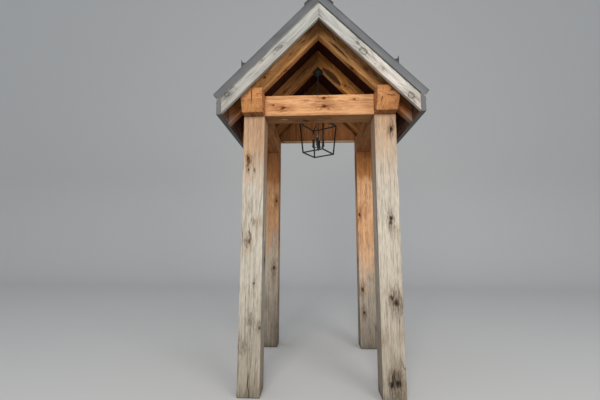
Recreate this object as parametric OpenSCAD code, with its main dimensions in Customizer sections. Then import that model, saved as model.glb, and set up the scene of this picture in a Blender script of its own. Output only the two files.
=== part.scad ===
// Gabled porch canopy in rough-sawn timber, with a ribbed metal roof and a hanging lantern.
// X runs along the wall, +Y runs into the wall and Z is up.
// Inside the modules y is counted from the front face of the front posts.

/* [Posts] */
// Side of the square posts
post_w = 195; // [150:1:240]
// Clear width between the left and right posts
post_clear = 1012; // [850:1:1400]
// Height of the posts, from their feet to the underside of the plates
post_h = 2450; // [2200:1:2800]
// From the front face of the front posts to the front face of the rear posts
post_run = 1173; // [950:1:1600]
// Side of the tenon on top of each post, across the plate
tenon_t = 50; // [30:1:60]
// Width of the tenon on top of each post, along the plate
tenon_w = 110; // [70:1:120]
// Height of the tenon on top of each post
tenon_h = 70; // [40:1:75]
// Clearance round a tenon in its mortise
tenon_clear = 1; // [0.5:0.5:3]

/* [Beams] */
// Height of the side plates
plate_h = 205; // [180:1:260]
// How far the nose of a plate stands out in front of the post
nose_len = 158; // [90:1:180]
// How far the underside of the nose stands out in front of the post
nose_foot = 87; // [30:1:88]
// Height of the break in the nose above its underside
nose_break = 104; // [60:1:150]
// Height of the front tie beam
tie_h = 198; // [170:1:205]
// Length of the tenons of the tie beam
tie_tenon_len = 60; // [30:1:70]
// Height of the tenons of the tie beam
tie_tenon_h = 85; // [50:1:90]
// Wood left between the mortises for a post and for the tie beam
mortise_web = 8; // [5:1:15]

/* [Rafters] */
// Pitch of the roof in degrees
roof_pitch = 46; // [38:1:48]
// Depth of the rafters, square to the slope
rafter_d = 140; // [120:1:160]
// Thickness of the rafters
rafter_t = 76; // [50:1:100]
// From the inner face of a plate to the start of the rafter seat
seat_inset = 72; // [60:1:110]
// From the front face of the front rafters to that of the middle pair
middle_rafter_y = 520; // [350:1:620]
// From the outer face of a plate to the plumb cut of the rafter tails
eave_reach = 148; // [90:1:220]

/* [Wane] */
// From the ridge to the middle of the wane on the front right rafter, along the slope
front_wane_u = 243; // [200:1:450]
// From the ridge to the middle of the wane on the middle right rafter, along the slope
middle_wane_u = 195; // [180:1:400]
// Half length of the wane on the front right rafter
front_wane_reach = 235; // [200:1:400]
// Height of that wane on the front face
front_wane_face = 42; // [20:1:60]
// Width of that wane on the underside
front_wane_under = 18; // [8:1:40]
// Half length of the wane on the middle right rafter
middle_wane_reach = 200; // [150:1:260]
// Height of that wane on the front face
middle_wane_face = 60; // [20:1:75]
// Width of that wane on the underside
middle_wane_under = 66; // [40:1:70]

/* [Boards] */
// Depth of the rake boards, square to the slope
rake_d = 134; // [120:1:160]
// Thickness of the rake boards and fascias
trim_board_t = 38; // [25:1:50]
// From the front face of the posts to the front face of the rake boards
rake_reach = 228; // [190:1:400]
// Height of the fascias
fascia_h = 161; // [140:1:200]
// Thickness of the roof deck
deck_t = 20; // [15:1:30]
// Width of one deck board with its joint
deck_board_w = 277; // [140:1:300]
// Open joint between boards
board_gap = 3; // [2:1:8]
// Width of one wall board with its joint
wall_board_w = 206; // [120:1:240]
// Thickness of the wall boards
wall_board_t = 19; // [15:1:25]
// Height of the strip under the wall boards
strip_h = 22; // [15:1:60]
// Thickness of the strip under the wall boards
strip_t = 38; // [25:1:50]

/* [Metal roof] */
// Thickness of the metal sheet as modelled
sheet_t = 1.6; // [1:0.1:2.5]
// Height of the ribs
rib_h = 16; // [10:1:25]
// Width of a rib at its foot
rib_foot = 45; // [30:1:60]
// Width of a rib at its crest
rib_crest = 22; // [12:1:28]
// Spacing of the ribs
rib_pitch = 229; // [150:1:320]
// From the front edge of the panel to the middle of the first rib
rib_edge = 30; // [30:1:40]
// How far the panel runs past the deck at the eave
panel_drip = 10; // [5:1:40]
// Depth of the rake trim below the deck's underside
rake_trim_drop = 25; // [12:1:60]
// Width of the flanges that lie on the panel
flange_w = 50; // [40:1:52]
// Drop of the eave trim below the deck's underside
eave_trim_drop = 55; // [30:1:90]
// Width of the kick at the foot of the eave trim
eave_kick = 7; // [4:1:15]
// Height of the wall flashing above the panel
flashing_h = 60; // [40:1:120]
// Width of each leaf of the ridge cap
cap_w = 132; // [100:1:200]
// Height of the ridge cap above the ribs
cap_rise = 14; // [8:1:25]
// Width of the foam closures under the ridge cap
closure_w = 20; // [12:1:30]

/* [Snow guards] */
// From the ridge to the foot of the guards, along the slope
guard_u = 945; // [600:1:1100]
// Height of the upright edge of a guard
guard_h = 81; // [50:1:100]
// Length of a guard's foot, along the slope
guard_base = 95; // [70:1:120]
// Width of a guard
guard_w = 44; // [30:1:56]
// Depth of the hollow in a guard's back
guard_hollow = 16; // [8:1:20]
// Thickness of a guard's foot
guard_foot_t = 3; // [2:0.5:4]
// Share of a guard's foot that its fin covers
guard_fin_share = 0.72; // [0.6:0.01:0.85]

/* [Lantern] */
// From the feet of the posts to the middle of the top frame of the cage
cage_top_z = 2577; // [2480:1:2700]
// Height of the cage between the middles of its frames
cage_h = 328; // [250:1:400]
// Side of the top frame, between bar middles
cage_top_w = 293; // [220:1:360]
// Side of the bottom frame, between bar middles
cage_foot_w = 244; // [180:1:340]
// Side of the square bars
cage_bar = 12; // [8:1:16]
// Rise of the roof arms from the top frame to the collar
arm_rise = 62; // [40:1:100]
// Turn of the cage about its stem in degrees
cage_turn = 14; // [0:1:45]
// Height of the collar that carries the cage
collar_h = 22; // [15:1:30]
// Radius of the collar
collar_r = 15; // [12:1:20]
// Width of the wedge between the middle rafters
wedge_w = 110; // [80:1:140]
// Radius of the ceiling rose
rose_r = 55; // [40:1:70]
// Height of the ceiling rose
rose_h = 50; // [30:1:70]
// Radius of the stem
stem_r = 6; // [4:0.5:10]
// From the stem to each candle
candle_r = 56; // [40:1:70]
// Height of a candle sleeve
candle_h = 76; // [60:1:110]
// Radius of a candle sleeve
sleeve_r = 11; // [8:0.5:14]
// Height of a bulb
bulb_h = 72; // [50:1:90]
// Radius of a bulb
bulb_r = 14; // [10:0.5:18]
// From the feet of the posts to the candle arms
candle_arm_z = 2320; // [2300:1:2400]
// Turn of the candles about the stem in degrees
candle_turn = -12; // [-45:1:45]
// Radius of the candle arms
candle_arm_r = 4; // [3:0.5:6]
// Radius of the turned hub between the arms
hub_r = 16; // [12:1:20]
// From the candle arms to the tip of the hub
hub_drop = 46; // [30:1:60]
// Height of the cups under the sleeves
cup_h = 14; // [8:1:20]
// How far the rim of a cup stands out round its sleeve
cup_rim = 6; // [4:0.5:8]

/* [Hidden] */
$fn = 48;

// Plan
inner_x = post_clear / 2;
outer_x = inner_x + post_w;
wall_y = post_run + post_w;
front_y = -rake_reach - sheet_t;
mid_y = (front_y + wall_y) / 2;

// Heights and the slope
plate_top = post_h + plate_h;
slope_tan = tan(roof_pitch);
slope_cos = cos(roof_pitch);
slope_sin = sin(roof_pitch);
seat_x = inner_x + seat_inset;
lower_apex_z = plate_top + seat_x * slope_tan;
deck_z = lower_apex_z + rafter_d / slope_cos;
tail_x = outer_x + eave_reach;
fascia_x = tail_x + trim_board_t;

// Lengths along the slope and heights square to it, from the deck's underside at the ridge
deck_len = fascia_x / slope_cos;
panel_len = deck_len + panel_drip;
panel_top = deck_t + sheet_t;
crest_top = panel_top + rib_h;
flange_top = crest_top + sheet_t;
cap_foot = flange_top;
cap_under = cap_foot + cap_rise;
first_rib_y = -rake_reach + rib_edge;
closure_y0 = first_rib_y + rib_foot / 2;
closure_y1 = wall_y - flange_w;
rib_count = floor((closure_y1 - rib_foot / 2 - first_rib_y) / rib_pitch) + 1;
deck_board_count = ceil(deck_len / deck_board_w);
hollow_steps = 8;

// Lantern heights
lantern_y = middle_rafter_y + rafter_t / 2;
wedge_foot_z = lower_apex_z - wedge_w / 2 * slope_tan;
rose_foot_z = wedge_foot_z - rose_h;
collar_z = cage_top_z + arm_rise;
cage_foot_z = cage_top_z - cage_h;
sleeve_foot_z = candle_arm_z + cup_h;
sleeve_top_z = sleeve_foot_z + candle_h;

TIMBER_PALE = "#bdb4a2";
TIMBER_WARM = "#c48f5c";
TIMBER_GREY = "#b9b8b0";
METAL_GREY = "#7d8284";
METAL_DARK = "#33373b";
IRON_BLACK = "#1d1d1f";

// Heights of the rafters' lower and upper edges at a distance from the ridge
function lower_z(x) = lower_apex_z - x * slope_tan;
function upper_z(x) = deck_z - x * slope_tan;

// A point on the right slope: u down the slope from the ridge, v square to it above the deck's underside
function slope_point(u, v) = [u * slope_cos + v * slope_sin, deck_z - u * slope_sin + v * slope_cos];
// The point straight above the ridge line at the height v
function ridge_point(v) = [0, deck_z + v / slope_cos];

// Puts the part's origin under the middle of its outline
module in_frame() {
    translate([0, -mid_y, 0]) children();
}

// Right side as drawn, left side as its mirror image
module on_side(side) {
    mirror([side < 0 ? 1 : 0, 0, 0]) children();
}

// An outline in X and Z, run along Y
module along_y(y0, y1) {
    translate([0, y1, 0]) rotate([90, 0, 0]) linear_extrude(y1 - y0) children();
}

// An outline in Y and Z, run along X
module along_x(x0, x1) {
    translate([x0, 0, 0]) rotate([90, 0, 90]) linear_extrude(x1 - x0) children();
}

// A strip of the slope between two distances and two heights, cut square at both ends
module slope_strip(u0, u1, v0, v1) {
    polygon([slope_point(u0, v0), slope_point(u1, v0), slope_point(u1, v1), slope_point(u0, v1)]);
}

// A strip of the slope that starts with a plumb cut at the ridge
module ridge_strip(u1, v0, v1) {
    polygon([ridge_point(v0), slope_point(u1, v0), slope_point(u1, v1), ridge_point(v1)]);
}

// Post with a tenon on its top
module post(side, y0) {
    in_frame() on_side(side) {
        translate([inner_x, y0, 0]) cube([post_w, post_w, post_h]);
        translate([inner_x + (post_w - tenon_t) / 2, y0 + (post_w - tenon_w) / 2, post_h])
            cube([tenon_t, tenon_w, tenon_h]);
    }
}

module front_post_left() { color(TIMBER_PALE) post(-1, 0); }
module front_post_right() { color(TIMBER_PALE) post(1, 0); }
module rear_post_left() { color(TIMBER_WARM) post(-1, post_run); }
module rear_post_right() { color(TIMBER_WARM) post(1, post_run); }

// Mortise in a plate for the tenon of the post at y0
module post_mortise(y0) {
    translate([
        inner_x + (post_w - tenon_t) / 2 - tenon_clear,
        y0 + (post_w - tenon_w) / 2 - tenon_clear,
        post_h - 1
    ])
        cube([tenon_t + 2 * tenon_clear, tenon_w + 2 * tenon_clear, tenon_h + tenon_clear + 1]);
}

// Tenon of the tie beam, grown by a clearance for its mortise
module tie_tenon(grow) {
    translate([
        inner_x - 1,
        (post_w - tenon_t) / 2 - grow,
        post_h + tenon_h + 2 * tenon_clear + mortise_web - grow
    ])
        cube([tie_tenon_len + 1 + grow, tenon_t + 2 * grow, tie_tenon_h + 2 * grow]);
}

// Side plate: a beam from the wall to its shaped nose in front of the post
module plate(side) {
    in_frame() on_side(side) difference() {
        along_x(inner_x, outer_x) polygon([
            [-nose_foot, post_h],
            [wall_y, post_h],
            [wall_y, plate_top],
            [-nose_len, plate_top],
            [-nose_len, post_h + nose_break]
        ]);
        post_mortise(0);
        post_mortise(post_run);
        tie_tenon(tenon_clear);
    }
}

module plate_left() { color(TIMBER_WARM) plate(-1); }
module plate_right() { color(TIMBER_WARM) plate(1); }

module front_tie_beam() {
    color(TIMBER_WARM) in_frame() {
        translate([-inner_x, 0, post_h]) cube([post_clear, post_w, tie_h]);
        on_side(1) tie_tenon(0);
        on_side(-1) tie_tenon(0);
    }
}

// Rafter with a seat cut over the plate and plumb cuts at the ridge and tail
module rafter(side, y0) {
    on_side(side) along_y(y0, y0 + rafter_t) polygon([
        [0, lower_apex_z],
        [seat_x, plate_top],
        [outer_x, plate_top],
        [outer_x, lower_z(outer_x)],
        [tail_x, lower_z(tail_x)],
        [tail_x, upper_z(tail_x)],
        [0, deck_z]
    ]);
}

// Cutter for a natural wane on the lower front edge of a right rafter: a long shallow cylinder
// that bites face mm up the front face and under mm into the underside at the distance u
module wane(y0, u, reach, face, under) {
    edge = sqrt(face * face + under * under);
    depth = face * under / edge;
    bow = (reach * reach + depth * depth) / (2 * depth);
    translate([0, y0, lower_apex_z]) rotate([0, roof_pitch, 0])
        translate([u, (depth - bow) * face / edge, (depth - bow) * under / edge])
            rotate([atan2(under, face), 0, 0])
                cylinder(h = 6 * edge, r = bow, center = true, $fn = 180);
}

module front_rafter_left() { color(TIMBER_WARM) in_frame() rafter(-1, 0); }
module front_rafter_right() {
    color(TIMBER_WARM) in_frame() difference() {
        rafter(1, 0);
        wane(0, front_wane_u, front_wane_reach, front_wane_face, front_wane_under);
    }
}
module middle_rafter_left() { color(TIMBER_WARM) in_frame() rafter(-1, middle_rafter_y); }
module middle_rafter_right() {
    color(TIMBER_WARM) in_frame() difference() {
        rafter(1, middle_rafter_y);
        wane(
            middle_rafter_y, middle_wane_u, middle_wane_reach,
            middle_wane_face, middle_wane_under
        );
    }
}
module rear_rafter_left() { color(TIMBER_WARM) in_frame() rafter(-1, post_run); }
module rear_rafter_right() { color(TIMBER_WARM) in_frame() rafter(1, post_run); }

// Rake board: plumb joint at the peak, plumb cut against the fascia
module rake_board(side) {
    in_frame() on_side(side) along_y(-rake_reach, -rake_reach + trim_board_t) polygon([
        [0, deck_z - rake_d / slope_cos],
        [tail_x, upper_z(tail_x) - rake_d / slope_cos],
        [tail_x, upper_z(tail_x)],
        [0, deck_z]
    ]);
}

module rake_board_left() { color(TIMBER_GREY) rake_board(-1); }
module rake_board_right() { color(TIMBER_GREY) rake_board(1); }

// Fascia across the rafter tails, its top edge planed to the slope
module fascia(side) {
    in_frame() on_side(side) along_y(-rake_reach, wall_y) polygon([
        [tail_x, upper_z(fascia_x) - fascia_h],
        [fascia_x, upper_z(fascia_x) - fascia_h],
        [fascia_x, upper_z(fascia_x)],
        [tail_x, upper_z(tail_x)]
    ]);
}

module fascia_left() { color(TIMBER_GREY) fascia(-1); }
module fascia_right() { color(TIMBER_GREY) fascia(1); }

// Deck boards running from the rake to the wall, the first one plumb cut at the ridge
module deck_boards(side) {
    in_frame() on_side(side) along_y(-rake_reach, wall_y) {
        ridge_strip(deck_board_w - board_gap, 0, deck_t);
        for (i = [1 : deck_board_count - 1])
            slope_strip(i * deck_board_w, min((i + 1) * deck_board_w - board_gap, deck_len), 0, deck_t);
    }
}

module deck_boards_left() { color(TIMBER_WARM) deck_boards(-1); }
module deck_boards_right() { color(TIMBER_WARM) deck_boards(1); }

// Outline of one rib from foot to foot at the height v
function rib_outline(i, v) =
    let (y = first_rib_y + i * rib_pitch)
    [
        [y - rib_foot / 2, v],
        [y - rib_crest / 2, v + rib_h],
        [y + rib_crest / 2, v + rib_h],
        [y + rib_foot / 2, v]
    ];
// Upper or lower line of the panel from one rib to another
function panel_line(first, last, v) = [for (i = [first : last]) each rib_outline(i, v)];
function reversed(list) = [for (i = [len(list) - 1 : -1 : 0]) list[i]];

// Frame of the right slope: X down the slope, Z square to it
module slope_frame() {
    translate([0, 0, deck_z]) rotate([0, roof_pitch, 0]) children();
}

// Ribbed sheet, its ribs running from ridge to eave
module roof_panel(side) {
    in_frame() on_side(side) slope_frame() along_x(board_gap, panel_len) polygon(concat(
        [[-rake_reach, deck_t]],
        panel_line(0, rib_count - 1, deck_t),
        [[wall_y, deck_t], [wall_y, panel_top]],
        reversed(panel_line(0, rib_count - 1, panel_top)),
        [[-rake_reach, panel_top]]
    ));
}

module roof_panel_left() { color(METAL_DARK) roof_panel(-1); }
module roof_panel_right() { color(METAL_DARK) roof_panel(1); }

// Rake trim: a face over the board ends and a flange on the first rib
module rake_trim(side) {
    in_frame() on_side(side) {
        along_y(front_y, -rake_reach) ridge_strip(panel_len, -rake_trim_drop, flange_top);
        along_y(-rake_reach, -rake_reach + flange_w) ridge_strip(panel_len, crest_top, flange_top);
    }
}

module rake_trim_left() { color(METAL_GREY) rake_trim(-1); }
module rake_trim_right() { color(METAL_GREY) rake_trim(1); }

// Eave trim: a drop down the fascia with a kick at its foot, and a leg up the deck's end
module eave_trim(side) {
    foot_z = upper_z(fascia_x) - eave_trim_drop;
    in_frame() on_side(side) along_y(-rake_reach, wall_y) {
        polygon([
            [fascia_x, foot_z],
            [fascia_x + eave_kick, foot_z - eave_kick],
            [fascia_x + eave_kick, foot_z - eave_kick + sheet_t],
            [fascia_x + sheet_t, foot_z + sheet_t],
            [fascia_x + sheet_t, upper_z(fascia_x)],
            [fascia_x, upper_z(fascia_x)]
        ]);
        slope_strip(deck_len, deck_len + sheet_t, 0, deck_t);
    }
}

module eave_trim_left() { color(METAL_GREY) eave_trim(-1); }
module eave_trim_right() { color(METAL_GREY) eave_trim(1); }

// Metal cover of a fascia: an outer leaf up to the kick of the eave trim, a leaf under the fascia
// and a flap over its front end
module fascia_cap(side) {
    foot_z = upper_z(fascia_x) - fascia_h - sheet_t;
    kick_z = upper_z(fascia_x) - eave_trim_drop;
    trim_rise = rake_trim_drop / slope_cos;
    in_frame() on_side(side) {
        along_y(-rake_reach, wall_y) polygon([
            [tail_x, foot_z],
            [fascia_x + sheet_t, foot_z],
            [fascia_x + sheet_t, kick_z - sheet_t],
            [fascia_x, kick_z],
            [fascia_x, foot_z + sheet_t],
            [tail_x, foot_z + sheet_t]
        ]);
        along_y(front_y, -rake_reach) polygon([
            [tail_x, foot_z],
            [fascia_x + sheet_t, foot_z],
            [fascia_x + sheet_t, upper_z(fascia_x + sheet_t) - trim_rise],
            [tail_x, upper_z(tail_x) - trim_rise]
        ]);
    }
}

module fascia_cap_left() { color(METAL_GREY) fascia_cap(-1); }
module fascia_cap_right() { color(METAL_GREY) fascia_cap(1); }

// Ridge cap: two leaves with their lower edges turned down
module ridge_cap() {
    color(METAL_DARK) in_frame() for (side = [-1, 1]) on_side(side) along_y(front_y, wall_y - sheet_t) {
        ridge_strip(cap_w, cap_under, cap_under + sheet_t);
        slope_strip(cap_w - sheet_t, cap_w, cap_foot, cap_under + sheet_t);
    }
}

// Foam between the ribs under the cap's edges, and a filler at the open front end
module ridge_closures() {
    color(IRON_BLACK) in_frame() {
        for (side = [-1, 1]) on_side(side) {
            slope_frame() along_x(cap_w - sheet_t - closure_w, cap_w - sheet_t) polygon(concat(
                [[closure_y0, panel_top]],
                panel_line(1, rib_count - 1, panel_top),
                [[closure_y1, panel_top], [closure_y1, cap_under], [closure_y0, cap_under]]
            ));
            along_y(front_y, front_y + closure_w) ridge_strip(cap_w - sheet_t, cap_foot, cap_under);
        }
    }
}

// Snow guard: a fin with an upright outer edge, a hollow back and a foot up the slope
module snow_guard(v) {
    toe = slope_point(guard_u, v);
    heel = slope_point(guard_u - guard_base * guard_fin_share, v + guard_foot_t);
    tip = [toe[0], toe[1] + guard_h];
    chord = tip - heel;
    inward = [chord[1], -chord[0]] / norm(chord);
    polygon(concat(
        [slope_point(guard_u - guard_base, v), toe, tip],
        [for (k = [hollow_steps - 1 : -1 : 1])
            heel + chord * k / hollow_steps
                + inward * guard_hollow * 4 * k / hollow_steps * (1 - k / hollow_steps)],
        [heel, slope_point(guard_u - guard_base, v + guard_foot_t)]
    ));
}

// One guard on every rib, the first one on the flange of the rake trim
module snow_guards(side) {
    in_frame() on_side(side) for (i = [0 : rib_count - 1]) {
        y = first_rib_y + i * rib_pitch;
        along_y(y - guard_w / 2, y + guard_w / 2) snow_guard(i == 0 ? flange_top : crest_top);
    }
}

module snow_guards_left() { color(IRON_BLACK) snow_guards(-1); }
module snow_guards_right() { color(IRON_BLACK) snow_guards(1); }

// Flashing with a flange on the panel and an upstand at the wall
module wall_flashing(side) {
    in_frame() on_side(side) {
        along_y(wall_y - flange_w, wall_y) ridge_strip(panel_len, panel_top, panel_top + sheet_t);
        along_y(wall_y - sheet_t, wall_y)
            ridge_strip(panel_len - flashing_h, panel_top, panel_top + flashing_h);
    }
}

module wall_flashing_left() { color(METAL_DARK) wall_flashing(-1); }
module wall_flashing_right() { color(METAL_DARK) wall_flashing(1); }

// Vertical boards on the wall, from the plates up to the deck
module back_boards() {
    reach = (deck_z - plate_top) / slope_tan;
    half_count = ceil((reach - wall_board_w / 2) / wall_board_w);
    color(TIMBER_WARM) in_frame() along_y(wall_y - wall_board_t, wall_y)
        for (i = [-half_count : half_count]) {
            left = max((i - 0.5) * wall_board_w + board_gap / 2, -reach);
            right = min((i + 0.5) * wall_board_w - board_gap / 2, reach);
            polygon(concat(
                [[left, plate_top], [right, plate_top], [right, upper_z(abs(right))]],
                i == 0 ? [[0, deck_z]] : [],
                [[left, upper_z(abs(left))]]
            ));
        }
}

module back_board_strip() {
    color(TIMBER_PALE) in_frame()
        translate([-inner_x, wall_y - strip_t, plate_top - strip_h]) cube([post_clear, strip_t, strip_h]);
}

// Wedge that fills the angle under the middle rafters
module lantern_wedge() {
    color(IRON_BLACK) in_frame() along_y(middle_rafter_y, middle_rafter_y + rafter_t)
        polygon([[-wedge_w / 2, wedge_foot_z], [wedge_w / 2, wedge_foot_z], [0, lower_apex_z]]);
}

// Places the lantern's turned parts on its stem line at a height
module on_stem(z) {
    in_frame() translate([0, lantern_y, z]) children();
}

module lantern_rose() {
    color(IRON_BLACK) on_stem(rose_foot_z) rotate_extrude() polygon([
        [0, 0],
        [stem_r * 2, 0],
        [stem_r * 2.4, rose_h * 0.3],
        [rose_r * 0.62, rose_h * 0.5],
        [rose_r * 0.9, rose_h * 0.72],
        [rose_r, rose_h],
        [0, rose_h]
    ]);
}

module lantern_stem() {
    color(IRON_BLACK) on_stem(collar_z + collar_h) cylinder(h = rose_foot_z - collar_z - collar_h, r = stem_r);
}

// Square frame of bars at one level of the cage
module cage_frame(side_w) {
    rotate([0, 0, cage_turn + 45]) difference() {
        cube([side_w + cage_bar, side_w + cage_bar, cage_bar], center = true);
        cube([side_w - cage_bar, side_w - cage_bar, cage_bar + 2], center = true);
    }
}

// Square bar from one point to another, its faces in line with the frames
module bar_between(from, to, w) {
    run = to - from;
    translate(from) rotate([0, acos(run[2] / norm(run)), atan2(run[1], run[0])]) rotate([0, 0, 45])
        translate([-w / 2, -w / 2, 0]) cube([w, w, norm(run)]);
}

// Tapered open cage with arms up to the collar on the stem
module lantern_cage() {
    top_r = cage_top_w / sqrt(2);
    foot_r = cage_foot_w / sqrt(2);
    color(IRON_BLACK) on_stem(0) {
        translate([0, 0, cage_top_z]) cage_frame(cage_top_w);
        translate([0, 0, cage_foot_z]) cage_frame(cage_foot_w);
        for (k = [0 : 3]) {
            way = [cos(cage_turn + 90 * k), sin(cage_turn + 90 * k), 0];
            bar_between(way * foot_r + [0, 0, cage_foot_z], way * top_r + [0, 0, cage_top_z], cage_bar);
            bar_between(way * top_r + [0, 0, cage_top_z], [0, 0, collar_z + collar_h / 2], cage_bar * 0.7);
        }
        translate([0, 0, collar_z]) cylinder(h = collar_h, r = collar_r);
    }
}

// Places one child at each of the four candles
module at_candles() {
    for (k = [0 : 3])
        rotate([0, 0, candle_turn + 90 * k]) translate([candle_r, 0, 0]) children();
}

// Central rod, turned hub, arms, cups and sleeves
module candle_cluster() {
    color(IRON_BLACK) on_stem(0) {
        translate([0, 0, candle_arm_z]) cylinder(h = collar_z - candle_arm_z, r = stem_r * 0.7);
        translate([0, 0, candle_arm_z]) rotate_extrude() polygon([
            [0, -hub_drop],
            [hub_r * 0.3, -hub_drop * 0.92],
            [hub_r * 0.55, -hub_drop * 0.74],
            [hub_r * 0.38, -hub_drop * 0.52],
            [hub_r, -hub_drop * 0.22],
            [hub_r, hub_r / 2],
            [hub_r * 0.44, hub_r * 1.25],
            [0, hub_r * 1.25]
        ]);
        for (k = [0 : 3])
            rotate([0, 0, candle_turn + 90 * k]) translate([0, 0, candle_arm_z]) rotate([0, 90, 0])
                cylinder(h = candle_r, r = candle_arm_r);
        at_candles() {
            translate([0, 0, candle_arm_z - 2 * candle_arm_r])
                cylinder(h = 2 * candle_arm_r, r1 = candle_arm_r, r2 = 2 * candle_arm_r);
            translate([0, 0, candle_arm_z]) cylinder(h = cup_h, r1 = 2 * candle_arm_r, r2 = sleeve_r + cup_rim);
            translate([0, 0, sleeve_foot_z]) cylinder(h = candle_h, r = sleeve_r);
        }
    }
}

// Clear flame-shaped bulbs on the sleeves
module candle_bulbs() {
    color("#f4ead2") on_stem(sleeve_top_z) at_candles() rotate_extrude() polygon([
        [0, 0],
        [bulb_r * 0.62, 0],
        [bulb_r * 0.62, bulb_h * 0.12],
        [bulb_r * 0.92, bulb_h * 0.28],
        [bulb_r, bulb_h * 0.4],
        [bulb_r * 0.88, bulb_h * 0.56],
        [bulb_r * 0.5, bulb_h * 0.78],
        [bulb_r * 0.18, bulb_h * 0.94],
        [0, bulb_h]
    ]);
}

front_post_left();
front_post_right();
rear_post_left();
rear_post_right();
plate_left();
plate_right();
front_tie_beam();
front_rafter_left();
front_rafter_right();
middle_rafter_left();
middle_rafter_right();
rear_rafter_left();
rear_rafter_right();
rake_board_left();
rake_board_right();
fascia_left();
fascia_right();
deck_boards_left();
deck_boards_right();
roof_panel_left();
roof_panel_right();
rake_trim_left();
rake_trim_right();
eave_trim_left();
eave_trim_right();
fascia_cap_left();
fascia_cap_right();
ridge_cap();
ridge_closures();
snow_guards_left();
snow_guards_right();
wall_flashing_left();
wall_flashing_right();
back_boards();
back_board_strip();
lantern_wedge();
lantern_rose();
lantern_stem();
lantern_cage();
candle_cluster();
candle_bulbs();
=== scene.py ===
import math

import bmesh
import bpy
from mathutils import Matrix, Vector, noise


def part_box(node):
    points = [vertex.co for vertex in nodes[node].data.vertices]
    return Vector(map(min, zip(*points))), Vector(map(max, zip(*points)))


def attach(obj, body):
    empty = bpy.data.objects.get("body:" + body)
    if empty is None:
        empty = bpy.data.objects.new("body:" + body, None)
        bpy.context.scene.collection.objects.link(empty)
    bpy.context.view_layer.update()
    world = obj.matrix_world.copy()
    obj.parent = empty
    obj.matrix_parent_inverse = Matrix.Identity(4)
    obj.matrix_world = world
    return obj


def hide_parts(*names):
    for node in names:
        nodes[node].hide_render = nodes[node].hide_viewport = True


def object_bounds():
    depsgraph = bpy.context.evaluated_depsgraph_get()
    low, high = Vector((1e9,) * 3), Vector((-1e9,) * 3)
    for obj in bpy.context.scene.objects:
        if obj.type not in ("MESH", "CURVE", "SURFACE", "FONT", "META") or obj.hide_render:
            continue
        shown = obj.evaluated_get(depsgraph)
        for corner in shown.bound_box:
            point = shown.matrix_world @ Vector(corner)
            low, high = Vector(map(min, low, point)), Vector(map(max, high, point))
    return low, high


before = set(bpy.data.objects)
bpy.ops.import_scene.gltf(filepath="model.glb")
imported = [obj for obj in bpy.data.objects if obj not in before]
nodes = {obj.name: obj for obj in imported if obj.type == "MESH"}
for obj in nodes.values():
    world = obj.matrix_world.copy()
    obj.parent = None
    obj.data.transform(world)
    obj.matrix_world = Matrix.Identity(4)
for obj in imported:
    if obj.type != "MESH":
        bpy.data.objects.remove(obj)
cad_low, cad_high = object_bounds()


# ---- Posts ----
# Four boxed-heart posts of rough-sawn softwood, about eight inches square, tenoned into the plates.
# They stand on their bare end grain: the fronts have bleached silver, the wood close to the roof has
# kept its tan, the feet are damp, and long checks have opened from the faces towards the heart. The
# rear posts are painted darker at the head and the foot as shade, and every post has a painted shadow
# line where it stands on the paving.

class Wire:
    """One value in a material or mesh tree; sums with it lay the math nodes of that tree."""

    def __init__(self, socket):
        self.socket, self.tree = socket, socket.id_data

    def __add__(self, other):
        return self.calc("ADD", other)

    def __sub__(self, other):
        return self.calc("SUBTRACT", other)

    def __rsub__(self, other):
        return lay(self.tree, "ShaderNodeMath", {0: other, 1: self}, operation="SUBTRACT")

    def __mul__(self, other):
        return self.calc("MULTIPLY", other)

    def __truediv__(self, other):
        return self.calc("DIVIDE", other)

    def __abs__(self):
        return self.calc("ABSOLUTE")

    def calc(self, operation, *others):
        return lay(self.tree, "ShaderNodeMath", dict(enumerate((self, *others))), operation=operation)

    def steer(self, operation, other=(0, 0, 0)):
        """Math with directions; a length or a product comes out as a plain value."""
        way_out = "Value" if operation in ("LENGTH", "DOT_PRODUCT") else "Vector"
        return lay(self.tree, "ShaderNodeVectorMath", {0: self, 1: other}, way_out, operation=operation)

    def part(self, axis):
        return lay(self.tree, "ShaderNodeSeparateXYZ", {0: self}, axis)

    def beside(self, label):
        """Another value that the same node gives."""
        return Wire(self.socket.node.outputs[label])

    def into(self, socket):
        self.tree.links.new(self.socket, socket)


def lay(tree, kind, feed=(), way_out=0, **settings):
    """Lays one node; feed fills its sockets by name or number, and one value comes out."""
    node = tree.nodes.new(kind)
    for key, value in settings.items():
        setattr(node, key, value)
    for key, value in dict(feed).items():
        if isinstance(value, Wire):
            value.into(node.inputs[key])
        else:
            node.inputs[key].default_value = (*value, 1) if node.inputs[key].type == "RGBA" else value
    return Wire(node.outputs[way_out])


def fade(value, start, stop, low=0.0, high=1.0, curve="SMOOTHSTEP"):
    """A rise from low to high while the value runs from start to stop."""
    feed = {"Value": value, "From Min": start, "From Max": stop, "To Min": low, "To Max": high}
    return lay(value.tree, "ShaderNodeMapRange", feed, interpolation_type=curve)


def mottle(place, stretch, scale, detail=3.0):
    """Noise drawn out by stretch; values lie round one half."""
    drawn = place.steer("MULTIPLY", stretch)
    return lay(place.tree, "ShaderNodeTexNoise", {"Vector": drawn, "Scale": scale, "Detail": detail})


def tint(amount, under, over, blend="MIX"):
    return lay(amount.tree, "ShaderNodeMix", {0: amount, 6: under, 7: over}, 2, data_type="RGBA", blend_type=blend)


def mapped(place, turn, shift=(0, 0, 0)):
    return lay(place.tree, "ShaderNodeMapping", {"Vector": place, "Location": shift, "Rotation": turn})


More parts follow.
